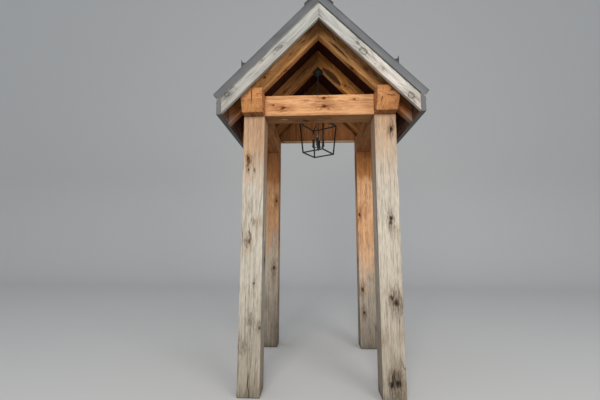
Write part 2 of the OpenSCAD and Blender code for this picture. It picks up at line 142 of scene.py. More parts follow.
def new_group(name, kind, inputs, outputs):
    """An empty tree with its sockets, listed by kind; gives the tree, what comes in and what goes out."""
    tree = bpy.data.node_groups.new(name, kind + "NodeTree")
    for way, sockets in (("INPUT", inputs), ("OUTPUT", outputs)):
        for socket_kind, labels in sockets.items():
            for label in labels:
                tree.interface.new_socket(label, in_out=way, socket_type="NodeSocket" + socket_kind)
    given = {socket.name: Wire(socket) for socket in tree.nodes.new("NodeGroupInput").outputs}
    return tree, given, tree.nodes.new("NodeGroupOutput").inputs


# A branch knot bends the grain lines round it and shows its own dark rings; Fill is how dark its heart is.
knot_effect, given, made = new_group(
    "branch_knot", "Shader",
    {"Vector": ("Place", "Centre"), "Float": ("Size", "Fill", "Bend", "Knot", "Rings")},
    {"Float": ("Bend", "Knot", "Rings")})
reach = given["Place"].steer("SUBTRACT", given["Centre"]).steer("MULTIPLY", (1.0, 1.0, 0.72))
away = reach.steer("LENGTH") / given["Size"]
ragged = mottle(given["Place"], (1, 1, 0.5), 55.0) * 1.5 + away - 0.25
core = fade(ragged, 1.65, 1.15)
rings = (ragged * 11.0).calc("SINE") * 0.22 + fade(ragged, 1.3, 0.55) * given["Fill"]
ray = mottle(reach.steer("NORMALIZE"), (1, 1, 1), 2.2, 2.0)
rings = (fade(abs(ray - 0.5), 0.035, 0.008) * 0.4 + rings) * core
rim = fade(ragged, 1.0, 1.3) * fade(ragged, 1.75, 1.45) * (1.0 - given["Fill"])
swirl = reach.steer("MULTIPLY", (1.0, 1.0, 0.5)).steer("LENGTH") / given["Size"]
for label, value in (("Bend", fade(swirl, 3.0, 0.6)), ("Knot", core * given["Fill"]),
                     ("Rings", rings.calc("MAXIMUM", rim))):
    given[label].calc("MAXIMUM", value).into(made[label])

# Sawn softwood: growth rings round the heart, fibre, checks, saw marks, silvering and end grain.
wood_effect, given, made = new_group(
    "sawn_softwood", "Shader",
    {"Vector": ("Place", "Along"), "Color": ("Light", "Dark", "Silver", "Slate", "Knot stain"),
     "Float": ("Greying", "Ring width", "Ring contrast", "Checks", "Saw marks", "Flecks", "Worn arris",
               "Bend", "Knot", "Rings")},
    {"Color": ("Colour",), "Float": ("Roughness", "Height")})
CRACK_BLACK = (0.022, 0.015, 0.011)
place, bend = given["Place"], given["Bend"]
x, y = place.part("X"), place.part("Y")
patch = mottle(place, (1, 1, 0.35), 5.0, 2.0)
streak = mottle(place, (1, 1, 0.028), 38.0)
vein = mottle(place, (1, 1, 0.02), 120.0)
fibre = mottle(place, (1, 1, 0.02), 330.0, 6.0)
fleck = (mottle(place, (1, 1, 0.11), 150.0, 4.0) - 0.5) * given["Flecks"] + 0.5
blotch = mottle(place, (1, 1, 0.4), 10.0, 4.0)
saw_cut = mottle(place, (0.1, 0.1, 1), 150.0, 2.0)
from_heart = (x * x + y * y).calc("SQRT")
ring = ((bend * 0.024 + (from_heart + patch * 0.07)) / given["Ring width"]).calc("FRACT")
late = fade(ring, 0.3, 0.85) * fade(ring, 1.0, 0.9)
band = late * (bend * 0.35 + given["Ring contrast"])
wander = lay(wood_effect, "ShaderNodeTexNoise", {"Vector": place, "Scale": 2.5, "Detail": 2.0}, "Color")
wander = place.steer("ADD", wander.steer("MULTIPLY", (0.06, 0.06, 0.0)))
split = lay(wood_effect, "ShaderNodeTexVoronoi", {
    "Vector": wander.steer("MULTIPLY", (1, 1, 0.04)), "Scale": 15.0}, feature="DISTANCE_TO_EDGE")
split = fade(split, 0.02, 0.005) * fade(patch, 0.5, 0.62)
facing = lay(wood_effect, "ShaderNodeNewGeometry", way_out="Normal")
end = fade(abs(facing.steer("DOT_PRODUCT", given["Along"])), 0.72, 0.9)
split = split * given["Checks"] * (1.0 - end)
spoke = lay(wood_effect, "ShaderNodeCombineXYZ", {0: y.calc("ARCTAN2", x), 1: from_heart * 2.0})
spoke = fade(abs(mottle(spoke, (1, 1, 1), 5.0, 2.0) - 0.5), 0.02, 0.004) * end
crack = split.calc("MAXIMUM", spoke * 0.45)

tone, bleach, uneven = band, band * 0.7, -1.05
for pattern, in_tone, in_bleach, in_greying in (
        (streak, 1.3, 1.1, 0.6), (vein, 0.8, 1.5, 0.0), (fibre, 0.9, 1.8, 0.0), (fleck, 1.4, 1.5, 0.3),
        (blotch, 1.3, 0.6, 1.2)):
    tone = pattern * in_tone + tone
    bleach = pattern * in_bleach + bleach
    uneven = pattern * in_greying + uneven if in_greying else uneven
sound = tint(fade(tone, 2.37, 3.75), given["Light"], given["Dark"])
grey = tint(fade(bleach, 2.75, 4.3), given["Silver"], given["Slate"])
grey = tint(fade(blotch, 0.52, 0.74), grey, (0.86, 0.775, 0.68), "MULTIPLY")
colour = tint(fade(given["Greying"] + uneven, 0.15, 0.85), sound, grey)
halo = bend * fade(fleck, 0.36, 0.6, 0.35, 1.0)
for mask, share in ((halo, 0.8), (given["Knot"], 0.9), (given["Rings"], 1.0), (given["Rings"], 1.0)):
    colour = tint(mask * share, colour, given["Knot stain"], "MULTIPLY")
for mask, share, over in (
        (end, 0.2, given["Dark"]), (given["Worn arris"], 0.35, given["Silver"]), (crack, 0.85, CRACK_BLACK)):
    colour = tint(mask * share, colour, over)
colour.into(made["Colour"])
(fibre * 0.25 + (end * 0.1 + 0.68)).into(made["Roughness"])
height = saw_cut * given["Saw marks"] * 1.1 + (band * 0.4 + (fleck * 0.5 + fibre * 0.5))
(given["Rings"] * 0.4 + (crack * -2.5 + height)).into(made["Height"])


def new_finish(name):
    """A new material, with where a point lies on the object and the sockets of its surface."""
    finish = bpy.data.materials.new(name)
    finish.use_nodes = True
    tree = finish.node_tree
    return finish, lay(tree, "ShaderNodeTexCoord", way_out="Object"), tree.nodes["Principled BSDF"].inputs


def dress(surface, colour, effect, relief, shine):
    """Puts a colour, and the roughness and height that an effect gives, on a surface."""
    colour.into(surface["Base Color"])
    effect.beside("Roughness").into(surface["Roughness"])
    lay(colour.tree, "ShaderNodeBump", {
        "Strength": relief, "Distance": 0.001, "Height": effect.beside("Height")}).into(surface["Normal"])
    surface["Specular IOR Level"].default_value = shine


def timber_finish(name, along, heart, tones, greying, knots=(), ring_width=0.0065, checks=0.8,
                  saw_marks=0.6, exposed=0.0, board=None, damp_foot_and_shade=None, knot_stain=(0.56, 0.42, 0.33),
                  rings=0.35, flecks=1.0, knot_fill=1.0, scars=(), smudges=(), painted_shade_end=None, painted_underside_shade=0.0):
    """Wood for one timber: tones are light, dark, silver and slate; greying runs with height."""
    finish, rest, surface = new_finish(name)
    tree, level = rest.tree, rest.part("Z")
    turn = Vector(along).rotation_difference(Vector((0, 0, 1)))
    if board:
        # Each board of a row is its own plank: the pattern starts afresh across every board.
        lane = mapped(rest, board["turn"], board["start"]).part("X") / board["width"]
        count = lane.calc("FLOOR")
        place = lay(tree, "ShaderNodeCombineXYZ", {
            0: (lane.calc("FRACT") - 0.5) * board["width"] + (count * 2.3).calc("SINE") * 0.04,
            1: count.calc("COSINE") * 0.02 + board["depth"],
            2: count * 3.7 + mapped(rest, turn.to_euler()).part("Z")})
    else:
        place = mapped(rest, turn.to_euler(), -(turn @ Vector(heart)))
    chain = {"Bend": 0.0, "Knot": 0.0, "Rings": 0.0}
    for centre, size in knots:
        knot = lay(tree, "ShaderNodeGroup", {
            "Place": place, "Centre": turn @ (Vector(centre) - Vector(heart)), "Size": size,
            "Fill": knot_fill, **chain}, node_tree=knot_effect)
        chain = {label: knot.beside(label) for label in chain}
    grey = fade(level, greying[0], greying[2], greying[1], greying[3], "LINEAR")
    if exposed:
        facing = lay(tree, "ShaderNodeNewGeometry", way_out="Normal")
        grey = facing.steer("DOT_PRODUCT", (0, -1, 0)) * exposed + grey
    worn = fade(lay(tree, "ShaderNodeAttribute", (), "Fac", attribute_name="worn_arris"), 0.7, 1.0)
    colour = wood = lay(tree, "ShaderNodeGroup", {
        "Place": place, "Along": along, "Greying": grey, "Ring width": ring_width, "Checks": checks,
        "Saw marks": saw_marks, "Ring contrast": rings, "Flecks": flecks, "Worn arris": worn,
        "Knot stain": knot_stain, **dict(zip(("Light", "Dark", "Silver", "Slate"), tones)), **chain},
        "Colour", node_tree=wood_effect)
    for centre, radius in scars:
        # Bark grown over an old wound leaves a brown crescent.
        bow = rest.steer("SUBTRACT", centre).steer("MULTIPLY", (1 / radius, 0.4 / radius, 0.85 / radius))
        edge = mottle(rest, (1, 1, 0.5), 45.0) * 0.9 + bow.steer("LENGTH")
        edge = fade(abs(edge - 1.45), 0.4, 0.0) * fade(bow.part("X"), 0.0, 0.8)
        colour = tint(edge, colour, (0.5, 0.31, 0.17), "MULTIPLY")
    for centre, radius in smudges:
        # Grey stain gathers in the curly grain round a knot.
        far = rest.steer("SUBTRACT", centre).steer("MULTIPLY", (1 / radius, 1 / radius, 0.55 / radius))
        far = mottle(rest, (1, 1, 0.35), 70.0, 5.0) * 2.4 + far.steer("LENGTH")
        colour = tint(fade(far, 2.2, 1.1, 0.0, 0.8), colour, (0.42, 0.38, 0.35), "MULTIPLY")
    if painted_shade_end:
        # Painted shade: past a given height the wood is darkened, standing in for the shade of the roof and the
        # parts above it.
        start, stop, shade = painted_shade_end
        shaded_height = mottle(rest, (1, 1, 0.12), 12.0) * 0.25 + level
        colour = tint(fade(shaded_height, start + 0.12, stop + 0.12), colour, shade, "MULTIPLY")
    # Painted shade: faces that look down, as under the plates and the tie beam, are darkened.
    if painted_underside_shade:
        below = lay(tree, "ShaderNodeNewGeometry", way_out="Normal").part("Z")
        colour = tint(fade(below, -0.5, -0.95, 0.0, painted_underside_shade), colour, (0.45, 0.4, 0.35), "MULTIPLY")
    if damp_foot_and_shade:
        # Splashed rain darkens the lower half, and the last inches above the paving stay dirty; on the rear
        # posts the stronger darkening of the lower half is painted shade as well.
        splash = mottle(rest, (1, 1, 0.15), 14.0) * 0.9 + level
        colour = tint(fade(splash, 1.7, 0.4), colour, damp_foot_and_shade, "MULTIPLY")
        tide = mottle(rest, (1, 1, 0.3), 22.0) * 0.09 + level
        colour = tint(fade(tide, 0.14, 0.05, 0.0, 0.42), colour, (0.07, 0.06, 0.045))
        # Painted shadow: the last 14 mm above the paving are darkened almost to black, where the post stands on it.
        colour = tint(fade(level, 0.014, 0.0, 0.0, 0.6), colour, (0.03, 0.025, 0.02))
    dress(surface, colour, wood, 0.8, 0.15)
    return finish


def open_split(blades, start, end, inward, width, depth):
    """Adds the wedge that cuts one drying split, wandering a little from start to end."""
    start, end, inward = Vector(start), Vector(end), Vector(inward).normalized()
    side = (end - start).cross(inward).normalized()
    rows = []
    steps = 14
    for i in range(steps + 1):
        t = i / steps
        swell = max(math.sin(math.pi * t), 0.02) ** 0.7
        drift = noise.noise(start * 7 + Vector((t * 3.1, 0, 0))) * 0.012 * math.sin(math.pi * t)
        middle = start.lerp(end, t) + side * drift - inward * 0.004
        gap = side * (width / 2 * swell + 0.0003)
        rows.append([blades.verts.new(p) for p in (
            middle - gap, middle + gap, middle + inward * (depth * swell + 0.005))])
    for a, b in zip(rows, rows[1:]):
        for k in range(3):
            blades.faces.new((a[k], a[(k + 1) % 3], b[(k + 1) % 3], b[k]))
    blades.faces.new(rows[0])
    blades.faces.new(rows[-1])


def stand_in_scene(name, data):
    piece = bpy.data.objects.new(name, data)
    bpy.context.scene.collection.objects.link(piece)
    return piece


def as_object(name, work, finish):
    """Turns a bmesh into a finished object at the origin."""
    mesh = bpy.data.meshes.new(name)
    work.to_mesh(mesh)
    work.free()
    mesh.materials.append(finish)
    return stand_in_scene(name, mesh)


def plain_mesh(piece):
    """Applies what is on an object: the evaluated shape becomes its plain mesh."""
    bpy.context.view_layer.update()
    result = bpy.data.meshes.new_from_object(piece.evaluated_get(bpy.context.evaluated_depsgraph_get()))
    piece.modifiers.clear()
    piece.data = result
    return piece


def fit(piece, slot, *replaced):
    """Rides on the one body and hides the CAD nodes that it stands for; its slot is not used."""
    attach(piece, "root")
    if replaced:
        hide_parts(*replaced)


def solid_copy(node):
    """The closed solid of a CAD node, its flat faces whole."""
    work = bmesh.new()
    work.from_mesh(nodes[node].data)
    bmesh.ops.remove_doubles(work, verts=work.verts, dist=1e-5)
    bmesh.ops.dissolve_limit(work, angle_limit=0.01, verts=work.verts, edges=work.edges)
    return work


def ease_edges(work, width, profile, fold):
    """Rounds the outer edges where two faces fold by more than an angle."""
    edges = [e for e in work.edges if e.is_manifold and e.is_convex and e.calc_face_angle(0) > fold]
    bmesh.ops.bevel(work, geom=edges, offset=width, segments=2, profile=profile, affect="EDGES",
                    clamp_overlap=True)


def shade_smooth(work, sharp):
    """Shades all faces smooth, except across edges that fold by an angle or more."""
    for f in work.faces:
        f.smooth = True
    for e in work.edges:
        e.smooth = e.is_manifold and e.calc_face_angle(0) < sharp


def sawn_timber(node, slot, finish, along, arris=0.004, cell=0.022, strip=0.026, uneven=0.0009,
                splits=(), seed=0):
    """A CAD timber with worn arrises, an uneven sawn face and open splits."""
    work = solid_copy(node)
    along = Vector(along)
    skin = work.faces.layers.float.new("wane_bark_and_shade")
    for f in work.faces:
        f[skin] = 1.0 if f.normal.y < -0.2 and f.normal.z < -0.12 and abs(f.normal.dot(along)) < 0.3 else 0.0
    ease_edges(work, arris, 0.6, 0.6)
    if splits:
        timber = as_object("timber_blank", work, finish)
        blades = bmesh.new()
        for one in splits:
            open_split(blades, *one)
        bmesh.ops.recalc_face_normals(blades, faces=blades.faces)
        knife = as_object("split_blades", blades, finish)
        cut = timber.modifiers.new("split", "BOOLEAN")
        cut.operation, cut.solver, cut.object = "DIFFERENCE", "EXACT", knife
        plain_mesh(timber)
        work = bmesh.new()
        work.from_mesh(timber.data)
        for spare in (timber, knife):
            bpy.data.objects.remove(spare)
    side = along.cross(Vector((0, 1, 0)) if abs(along.y) < 0.5 else Vector((1, 0, 0))).normalized()
    for way, gap in ((along, cell), (side, strip), (along.cross(side), strip)):
        spread = [v.co.dot(way) for v in work.verts]
        low, high = min(spread), max(spread)
        count = int((high - low) / gap)
        for i in range(1, count + 1):
            bmesh.ops.bisect_plane(
                work, geom=work.verts[:] + work.edges[:] + work.faces[:],
                plane_co=way * (low + (high - low) * i / (count + 1)), plane_no=way)
    work.normal_update()
    worn = work.verts.layers.float.new("worn_arris")
    shift = Vector((seed * 3.7, seed * 1.9, seed * 5.3))
    for v in work.verts:
        facings = [f.normal for f in v.link_faces]
        on_edge = min((facings[0].dot(n) for n in facings), default=1) < 0.93
        v[worn] = 1.0 if on_edge else 0.0
        depth = uneven * (0.5 + 0.5 * noise.noise(v.co * 8 + shift))
        depth += uneven * 0.3 * (0.5 + 0.5 * noise.noise(v.co * 50 + shift))
        if on_edge:
            depth += arris * 0.8 * max(0.0, noise.noise(v.co * 13 + shift) + 0.15)
        v.co -= v.normal * depth
    shade_smooth(work, 0.3)
    skin = work.faces.layers.float.get("wane_bark_and_shade")
    for e in work.edges:
        if e.is_manifold and e.link_faces[0][skin] != e.link_faces[1][skin]:
            e.smooth = False
    fit(as_object("sawn_" + node, work, finish), slot, node)


def on_face(axis, at, along, height):
    """A place on an upright face that is square to an axis and stands at a distance."""
    return (at, along, height) if axis == "x" else (along, at, height)


def marks(axis, at, *rows):
    """Knots or stains on such a face: each is a distance along it, a height and a size."""
    return [(on_face(axis, at, along, height), size) for along, height, size in rows]


def cuts(axis, at, way, *rows):
    """Splits that go into such a face: (along, height) of both ends, then how wide and how deep."""
    return [(on_face(axis, at, *ends[:2]), on_face(axis, at, *ends[2:]), on_face(axis, way, 0, 0), width, depth)
            for *ends, width, depth in rows]


UP, BACKWARD, RIGHTWARD = (0, 0, 1), (0, 1, 0), (1, 0, 0)
LEFT_SILVER = ((0.43, 0.28, 0.175), (0.23, 0.13, 0.07), (0.5, 0.455, 0.385), (0.2, 0.17, 0.13))
RIGHT_SILVER = ((0.47, 0.32, 0.205), (0.25, 0.15, 0.085), (0.53, 0.475, 0.395), (0.21, 0.17, 0.13))
# The two rear posts share one tan: the right one is painted lighter as light, the left one darker as the shade of
# the front post.
LEFT_TAN = ((0.58, 0.33, 0.17), (0.27, 0.115, 0.045), (0.56, 0.475, 0.38), (0.23, 0.195, 0.15))
RIGHT_TAN = ((0.8, 0.48, 0.26), (0.38, 0.17, 0.075), (0.6, 0.51, 0.41), (0.26, 0.22, 0.175))
FRONT_POST = {"exposed": 0.16, "rings": 0.2, "damp_foot_and_shade": (0.66, 0.63, 0.59), "knot_stain": (0.45, 0.42, 0.4)}
# Painted shade: the rear posts' lower halves are darkened more than the front ones'.
REAR_POST = {"exposed": 0.05, "rings": 0.3, "damp_foot_and_shade": (0.46, 0.45, 0.43), "knot_stain": (0.5, 0.41, 0.34)}
front_face, front_back = (corner.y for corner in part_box("front_post_left"))
rear_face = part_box("rear_post_left")[0].y
inner, outer = (corner.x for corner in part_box("front_post_right"))

finish = timber_finish(
    "front_post_left_wood", UP, (-0.63, -0.5, 0), LEFT_SILVER, (1.5, 0.84, 2.42, -0.1),
    scars=marks("y", front_face, (-0.65, 1.33, 0.04), (-0.69, 2.02, 0.046)),
    smudges=marks("y", front_face, (-0.64, 2.02, 0.045), (-0.645, 1.3, 0.05), (-0.585, 1.47, 0.035),
                  (-0.6, 0.62, 0.06), (-0.66, 0.4, 0.06)),
    knots=marks("y", front_face, (-0.65, 2.05, 0.012), (-0.646, 1.94, 0.009), (-0.575, 0.93, 0.008),
                (-0.52, 0.56, 0.012))
    + marks("x", -outer, (-0.46, 1.75, 0.028), (-0.5, 0.62, 0.02)) + marks("x", -inner, (-0.44, 1.12, 0.024)),
    **FRONT_POST)
sawn_timber("front_post_left", "post_timber", finish, UP, seed=1, splits=[
    *cuts("y", front_face, 1, (-0.59, 0.02, -0.598, 0.56, 0.001, 0.028),
          (-0.622, 1.28, -0.634, 1.46, 0.0028, 0.018)),
    *cuts("x", -outer, 1, (-0.475, 0.25, -0.462, 1.55, 0.0052, 0.055)),
    *cuts("x", -inner, -1, (-0.47, 1.15, -0.48, 2.2, 0.0036, 0.045)),
    *cuts("y", front_back, -1, (-0.61, 0.6, -0.6, 2.1, 0.0055, 0.055))])
finish = timber_finish(
    "front_post_right_wood", UP, (0.58, -0.46, 0), RIGHT_SILVER, (1.55, 0.86, 2.45, -0.02),
    smudges=marks("y", front_face, (0.645, 2.3, 0.045), (0.622, 1.48, 0.055), (0.66, 0.775, 0.085),
                  (0.605, 0.16, 0.08)),
    knots=marks("y", front_face, (0.652, 2.306, 0.017), (0.622, 1.497, 0.017), (0.619, 1.455, 0.014),
                (0.606, 0.821, 0.019), (0.641, 0.78, 0.026), (0.58, 0.134, 0.021), (0.634, 0.143, 0.026))
    + marks("x", inner, (-0.3, 0.5, 0.028)) + marks("x", outer, (-0.47, 1.3, 0.026), (-0.43, 0.34, 0.02)),
    **FRONT_POST)
sawn_timber("front_post_right", "post_timber", finish, UP, seed=2, splits=[
    *cuts("y", front_face, 1, (0.606, 0.15, 0.609, 0.262, 0.0085, 0.032), (0.619, 1.28, 0.622, 1.47, 0.0026, 0.02),
          (0.655, 0.3, 0.662, 0.76, 0.0024, 0.02)),
    *cuts("x", outer, -1, (-0.47, 0.55, -0.485, 1.95, 0.0055, 0.055)),
    *cuts("x", inner, 1, (-0.49, 0.8, -0.475, 2.05, 0.0034, 0.04)),
    *cuts("y", front_back, -1, (0.6, 0.3, 0.61, 1.5, 0.0048, 0.05))])
# Painted shade: the rear posts are darkened at the head, where the plates shade them.
finish = timber_finish(
    "rear_post_left_wood", UP, (-0.6, 0.71, 0), LEFT_TAN, (0.8, 0.9, 1.75, 0.0),
    knots=marks("y", rear_face, (-0.535, 1.8, 0.018), (-0.56, 0.95, 0.022))
    + marks("x", -inner, (0.7, 1.32, 0.026), (0.66, 0.55, 0.018)),
    painted_shade_end=(1.97, 2.09, (0.76, 0.58, 0.43)), **REAR_POST)
sawn_timber("rear_post_left", "post_timber", finish, UP, seed=3, splits=[
    *cuts("x", -inner, -1, (0.7, 0.3, 0.692, 1.7, 0.0034, 0.05)),
    *cuts("x", -outer, 1, (0.7, 0.5, 0.71, 2.0, 0.005, 0.05))])
finish = timber_finish(
    "rear_post_right_wood", UP, (0.61, 0.69, 0), RIGHT_TAN, (0.35, 0.98, 1.45, 0.0),
    knots=marks("y", rear_face, (0.53, 1.62, 0.019), (0.545, 0.7, 0.022), (0.56, 0.42, 0.016))
    + marks("x", inner, (0.69, 2.02, 0.024), (0.73, 1.02, 0.022)),
    painted_shade_end=(2.02, 2.17, (0.58, 0.42, 0.26)), **REAR_POST)
sawn_timber("rear_post_right", "post_timber", finish, UP, seed=4, splits=[
    *cuts("x", inner, 1, (0.69, 0.9, 0.7, 2.1, 0.0036, 0.05)),
    *cuts("x", outer, -1, (0.69, 0.35, 0.68, 1.9, 0.005, 0.05))])


# ---- Plates and tie beam ----
# Two side plates lie on the posts and run out in front as hand-shaped noses, with a steeper cut below
# a break line; the tie beam is tenoned between them. All are rough-sawn boxed-heart softwood, honey
# brown, orange on the end grain, where short checks run from the heart.

PLATE_TONES = ((0.62, 0.29, 0.115), (0.28, 0.1, 0.03), (0.48, 0.33, 0.21), (0.26, 0.16, 0.095))
TIE_TONES = ((0.62, 0.33, 0.155), (0.32, 0.14, 0.055), (0.58, 0.41, 0.27), (0.36, 0.235, 0.145))
UNDERSIDE = 2.45
nose_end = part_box("plate_left")[0].y
plate_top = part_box("plate_left")[1].z
finish = timber_finish(
    "plate_left_wood", BACKWARD, (-0.607, 0, 2.545), PLATE_TONES, (2.45, 0.1, 2.66, 0.14),
    knots=marks("x", -outer, (-0.25, 2.56, 0.024), (0.36, 2.52, 0.028)) + marks("x", -inner, (0.22, 2.58, 0.024)),
    ring_width=0.0075, painted_underside_shade=0.6)
sawn_timber("plate_left", "beam_timber", finish, BACKWARD, arris=0.007, uneven=0.002, strip=0.02, seed=5, splits=[
    *cuts("y", nose_end, 1, (-0.605, 2.47, -0.607, 2.645, 0.005, 0.045),
          (-0.565, 2.588, -0.508, 2.592, 0.0042, 0.03)),
    *cuts("x", -outer, 1, (-0.45, 2.555, 0.55, 2.548, 0.0042, 0.04))])
finish = timber_finish(
    "plate_right_wood", BACKWARD, (0.585, 0, 2.57), PLATE_TONES, (2.45, 0.08, 2.66, 0.3),
    knots=marks("x", outer, (-0.36, 2.55, 0.022), (0.3, 2.57, 0.026)) + marks("y", nose_end, (0.632, 2.607, 0.012)),
    ring_width=0.0075, painted_underside_shade=0.6)
sawn_timber("plate_right", "beam_timber", finish, BACKWARD, arris=0.008, uneven=0.0025, strip=0.02, seed=6, splits=[
    *cuts("y", nose_end, 1, (0.59, 2.565, 0.668, 2.548, 0.005, 0.035)),
    ((0.545, nose_end + 0.02, 2.47), (0.552, nose_end, 2.6), BACKWARD, 0.0034, 0.03),
    *cuts("x", outer, -1, (-0.3, 2.56, 0.62, 2.553, 0.0042, 0.04))])
finish = timber_finish(
    "tie_beam_wood", RIGHTWARD, (0, -0.505, 2.592), TIE_TONES, (2.45, 0.0, 2.65, 0.12),
    knots=marks("y", front_face, (-0.425, 2.556, 0.011), (-0.335, 2.526, 0.02), (0.047, 2.617, 0.017),
                (0.047, 2.538, 0.019), (0.33, 2.6, 0.009)) + [((-0.12, -0.44, UNDERSIDE), 0.026)],
    ring_width=0.0085, checks=0.2, painted_underside_shade=0.6)
sawn_timber("front_tie_beam", "beam_timber", finish, RIGHTWARD, uneven=0.0012, seed=7, splits=[
    *cuts("y", front_face, 1, (-0.26, 2.607, 0.02, 2.585, 0.0011, 0.02)),
    ((-0.4, -0.47, UNDERSIDE), (0.3, -0.46, UNDERSIDE), UP, 0.003, 0.03),
    *cuts("y", front_back, -1, (-0.35, 2.55, 0.42, 2.56, 0.0042, 0.045))])


# ---- Rafters ----
# Three pairs of sawn rafters, plumb cut at the ridge and tail and seated on the plates. All are warm
# brown, as they see no rain; two on the right keep the natural wane of the log along their lower front
# edge, where the dark skin under the bark was never sawn away; that dark is also painted shade in the crease.

PITCH = math.radians(46)
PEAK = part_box("rake_board_right")[1].z
RAFTER_DEPTH = 0.14
# Painted light and shade: one rafter stock, painted lighter in the front row and darker in each row further back
# under the roof, and lightest on the middle right rafter, where light reaches it.
RAFTER_TONES = {
    "front": ((0.8, 0.41, 0.145), (0.36, 0.14, 0.042), (0.62, 0.52, 0.42), (0.32, 0.25, 0.18)),
    "middle": ((0.6, 0.28, 0.085), (0.27, 0.095, 0.024), (0.52, 0.33, 0.18), (0.26, 0.14, 0.07)),
    "middle_right_lit": ((0.95, 0.44, 0.12), (0.42, 0.155, 0.038), (0.7, 0.44, 0.24), (0.36, 0.2, 0.09)),
    "rear": ((0.46, 0.21, 0.065), (0.2, 0.07, 0.018), (0.42, 0.26, 0.14), (0.2, 0.11, 0.055))}
SIDES = {"left": -1, "right": 1}
down = {side: Vector((sign * math.cos(PITCH), 0, -math.sin(PITCH))) for side, sign in SIDES.items()}
out = {side: Vector((sign * math.sin(PITCH), 0, math.cos(PITCH))) for side, sign in SIDES.items()}


def slope_spot(side, u, v, y):
    """A place on a slope: u down from the ridge, v square above the deck's underside."""
    return Vector((0, y, PEAK)) + down[side] * u + out[side] * v


def under_roof(x):
    """How high the deck's underside is over a place beside the ridge."""
    return PEAK - abs(x) * math.tan(PITCH)


def overlay(finish, amount, colour):
    """Lays one more colour over what a material shows."""
    shown = finish.node_tree.nodes["Principled BSDF"].inputs["Base Color"]
    tint(amount, Wire(shown.links[0].from_socket), colour).into(shown)


def wane_bark_and_shade(finish, side, turn_dark, all_dark):
    """Colours a wane: dark inner bark and painted shade in the crease under the sawn face, paling to bare wood at
    the underside.
    """
    tree = finish.node_tree
    spot = lay(tree, "ShaderNodeTexCoord", way_out="Object")
    climb = spot.steer("SUBTRACT", slope_spot(side, 0, -RAFTER_DEPTH, 0)).steer("DOT_PRODUCT", out[side])
    climb = mottle(spot, (1, 0.3, 1), 20.0, 1.0) * 0.008 + climb
    turned_spot = mapped(spot, down[side].rotation_difference(Vector(UP)).to_euler())
    fray = fade(mottle(turned_spot, (1, 1, 0.1), 90.0), 0.35, 0.7)
    dark = tint(fray, (0.08, 0.031, 0.011), (0.15, 0.07, 0.026))
    pale = tint(fray, (0.48, 0.25, 0.095), (0.32, 0.155, 0.055))
    skin = tint(fade(climb, turn_dark, all_dark), pale, dark)
    overlay(finish, lay(tree, "ShaderNodeAttribute", way_out="Fac", attribute_name="wane_bark_and_shade"), skin)


# For each row: how it greys with height, its tail darkened as painted shade, and where its wane turns
# dark above the underside, as bark and painted shade.
SHELTERED, SHADED_TAIL = (2.4, 0.02, 3.4, 0.02), (2.68, 2.54, (0.7, 0.52, 0.38))
RAFTER_ROWS = {"front": ((2.4, 0.9, 2.5, 0.02), (2.72, 2.57, (0.58, 0.46, 0.42)), (0.024, 0.033)),
               "middle": (SHELTERED, SHADED_TAIL, (0.012, 0.03)), "rear": (SHELTERED, SHADED_TAIL, ())}
for number, (row, side) in enumerate((r, s) for r in RAFTER_ROWS for s in SIDES):
    name = f"{row}_rafter_{side}"
    greying, painted_tail_shade, wane = RAFTER_ROWS[row]
    low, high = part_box(name)
    finish = timber_finish(
        name + "_wood", down[side], slope_spot(side, 0, -0.03 - 0.02 * (number % 3), high.y + 0.02),
        RAFTER_TONES["middle_right_lit" if name == "middle_rafter_right" else row], greying,
        knots=[(slope_spot(side, 0.8 - 0.09 * number, -0.06 - 0.01 * number, low.y), 0.012),
               (slope_spot(side, 0.6, -RAFTER_DEPTH, (low.y + high.y) / 2), 0.016)],
        ring_width=0.008, rings=0.5, painted_shade_end=painted_tail_shade)
    if side == "right" and wane:
        wane_bark_and_shade(finish, side, *wane)
    sawn_timber(name, "rafter_timber", finish, down[side], arris=0.0035, uneven=0.001, cell=0.025, splits=[
        (slope_spot(side, 0.25, -0.07, low.y), slope_spot(side, 0.85, -0.075, low.y), BACKWARD, 0.0016, 0.02),
        (slope_spot(side, 0.3, -0.08, high.y), slope_spot(side, 1.0, -0.07, high.y), (0, -1, 0), 0.003, 0.025)],
        seed=8 + number)


# ---- Rake boards and fascias ----
# Planks about an inch and a half thick, nailed up under the roof's front edges with a plumb joint at
# the peak, and across the rafter tails. Rain and sun have turned the fronts silver grey, with dark
# ringed knots; the sheltered backs are still brown.

RAKE_TONES = {
    "left": ((0.32, 0.25, 0.18), (0.17, 0.12, 0.08), (0.405, 0.385, 0.345), (0.14, 0.145, 0.15)),
    "right": ((0.45, 0.34, 0.245), (0.23, 0.16, 0.11), (0.61, 0.55, 0.49), (0.21, 0.21, 0.205))}
FASCIA_TONES = ((0.15, 0.065, 0.038), (0.07, 0.028, 0.016), (0.52, 0.47, 0.4), (0.27, 0.23, 0.19))
rake_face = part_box("rake_board_left")[0].y
rake_knots = {
    "left": marks("y", rake_face, (-0.369, 2.967, 0.014), (-0.338, 2.99, 0.011), (-0.5, 2.865, 0.008),
                  (-0.8, 2.556, 0.018)),
    "right": marks("y", rake_face, (0.336, 3.004, 0.009), (0.381, 2.925, 0.028), (0.544, 2.754, 0.01),
                   (0.768, 2.515, 0.024))}


def trim_shadow_line(finish, side, share):
    """Painted shadow: a black line on the board in the last millimetres under the metal trim, where the trim stands
    proud of it.
    """
    ridge = Vector((0, 0, PEAK))
    edge = min((v.co - ridge).dot(out[side]) for v in nodes["rake_trim_" + side].data.vertices)
    spot = lay(finish.node_tree, "ShaderNodeTexCoord", way_out="Object")
    climb = spot.steer("SUBTRACT", ridge).steer("DOT_PRODUCT", out[side])
    climb = mottle(spot, (1, 1, 1), 14.0) * 0.012 + climb
    overlay(finish, fade(climb, edge - 0.011, edge - 0.003, 0.0, share), (0.028, 0.026, 0.024))


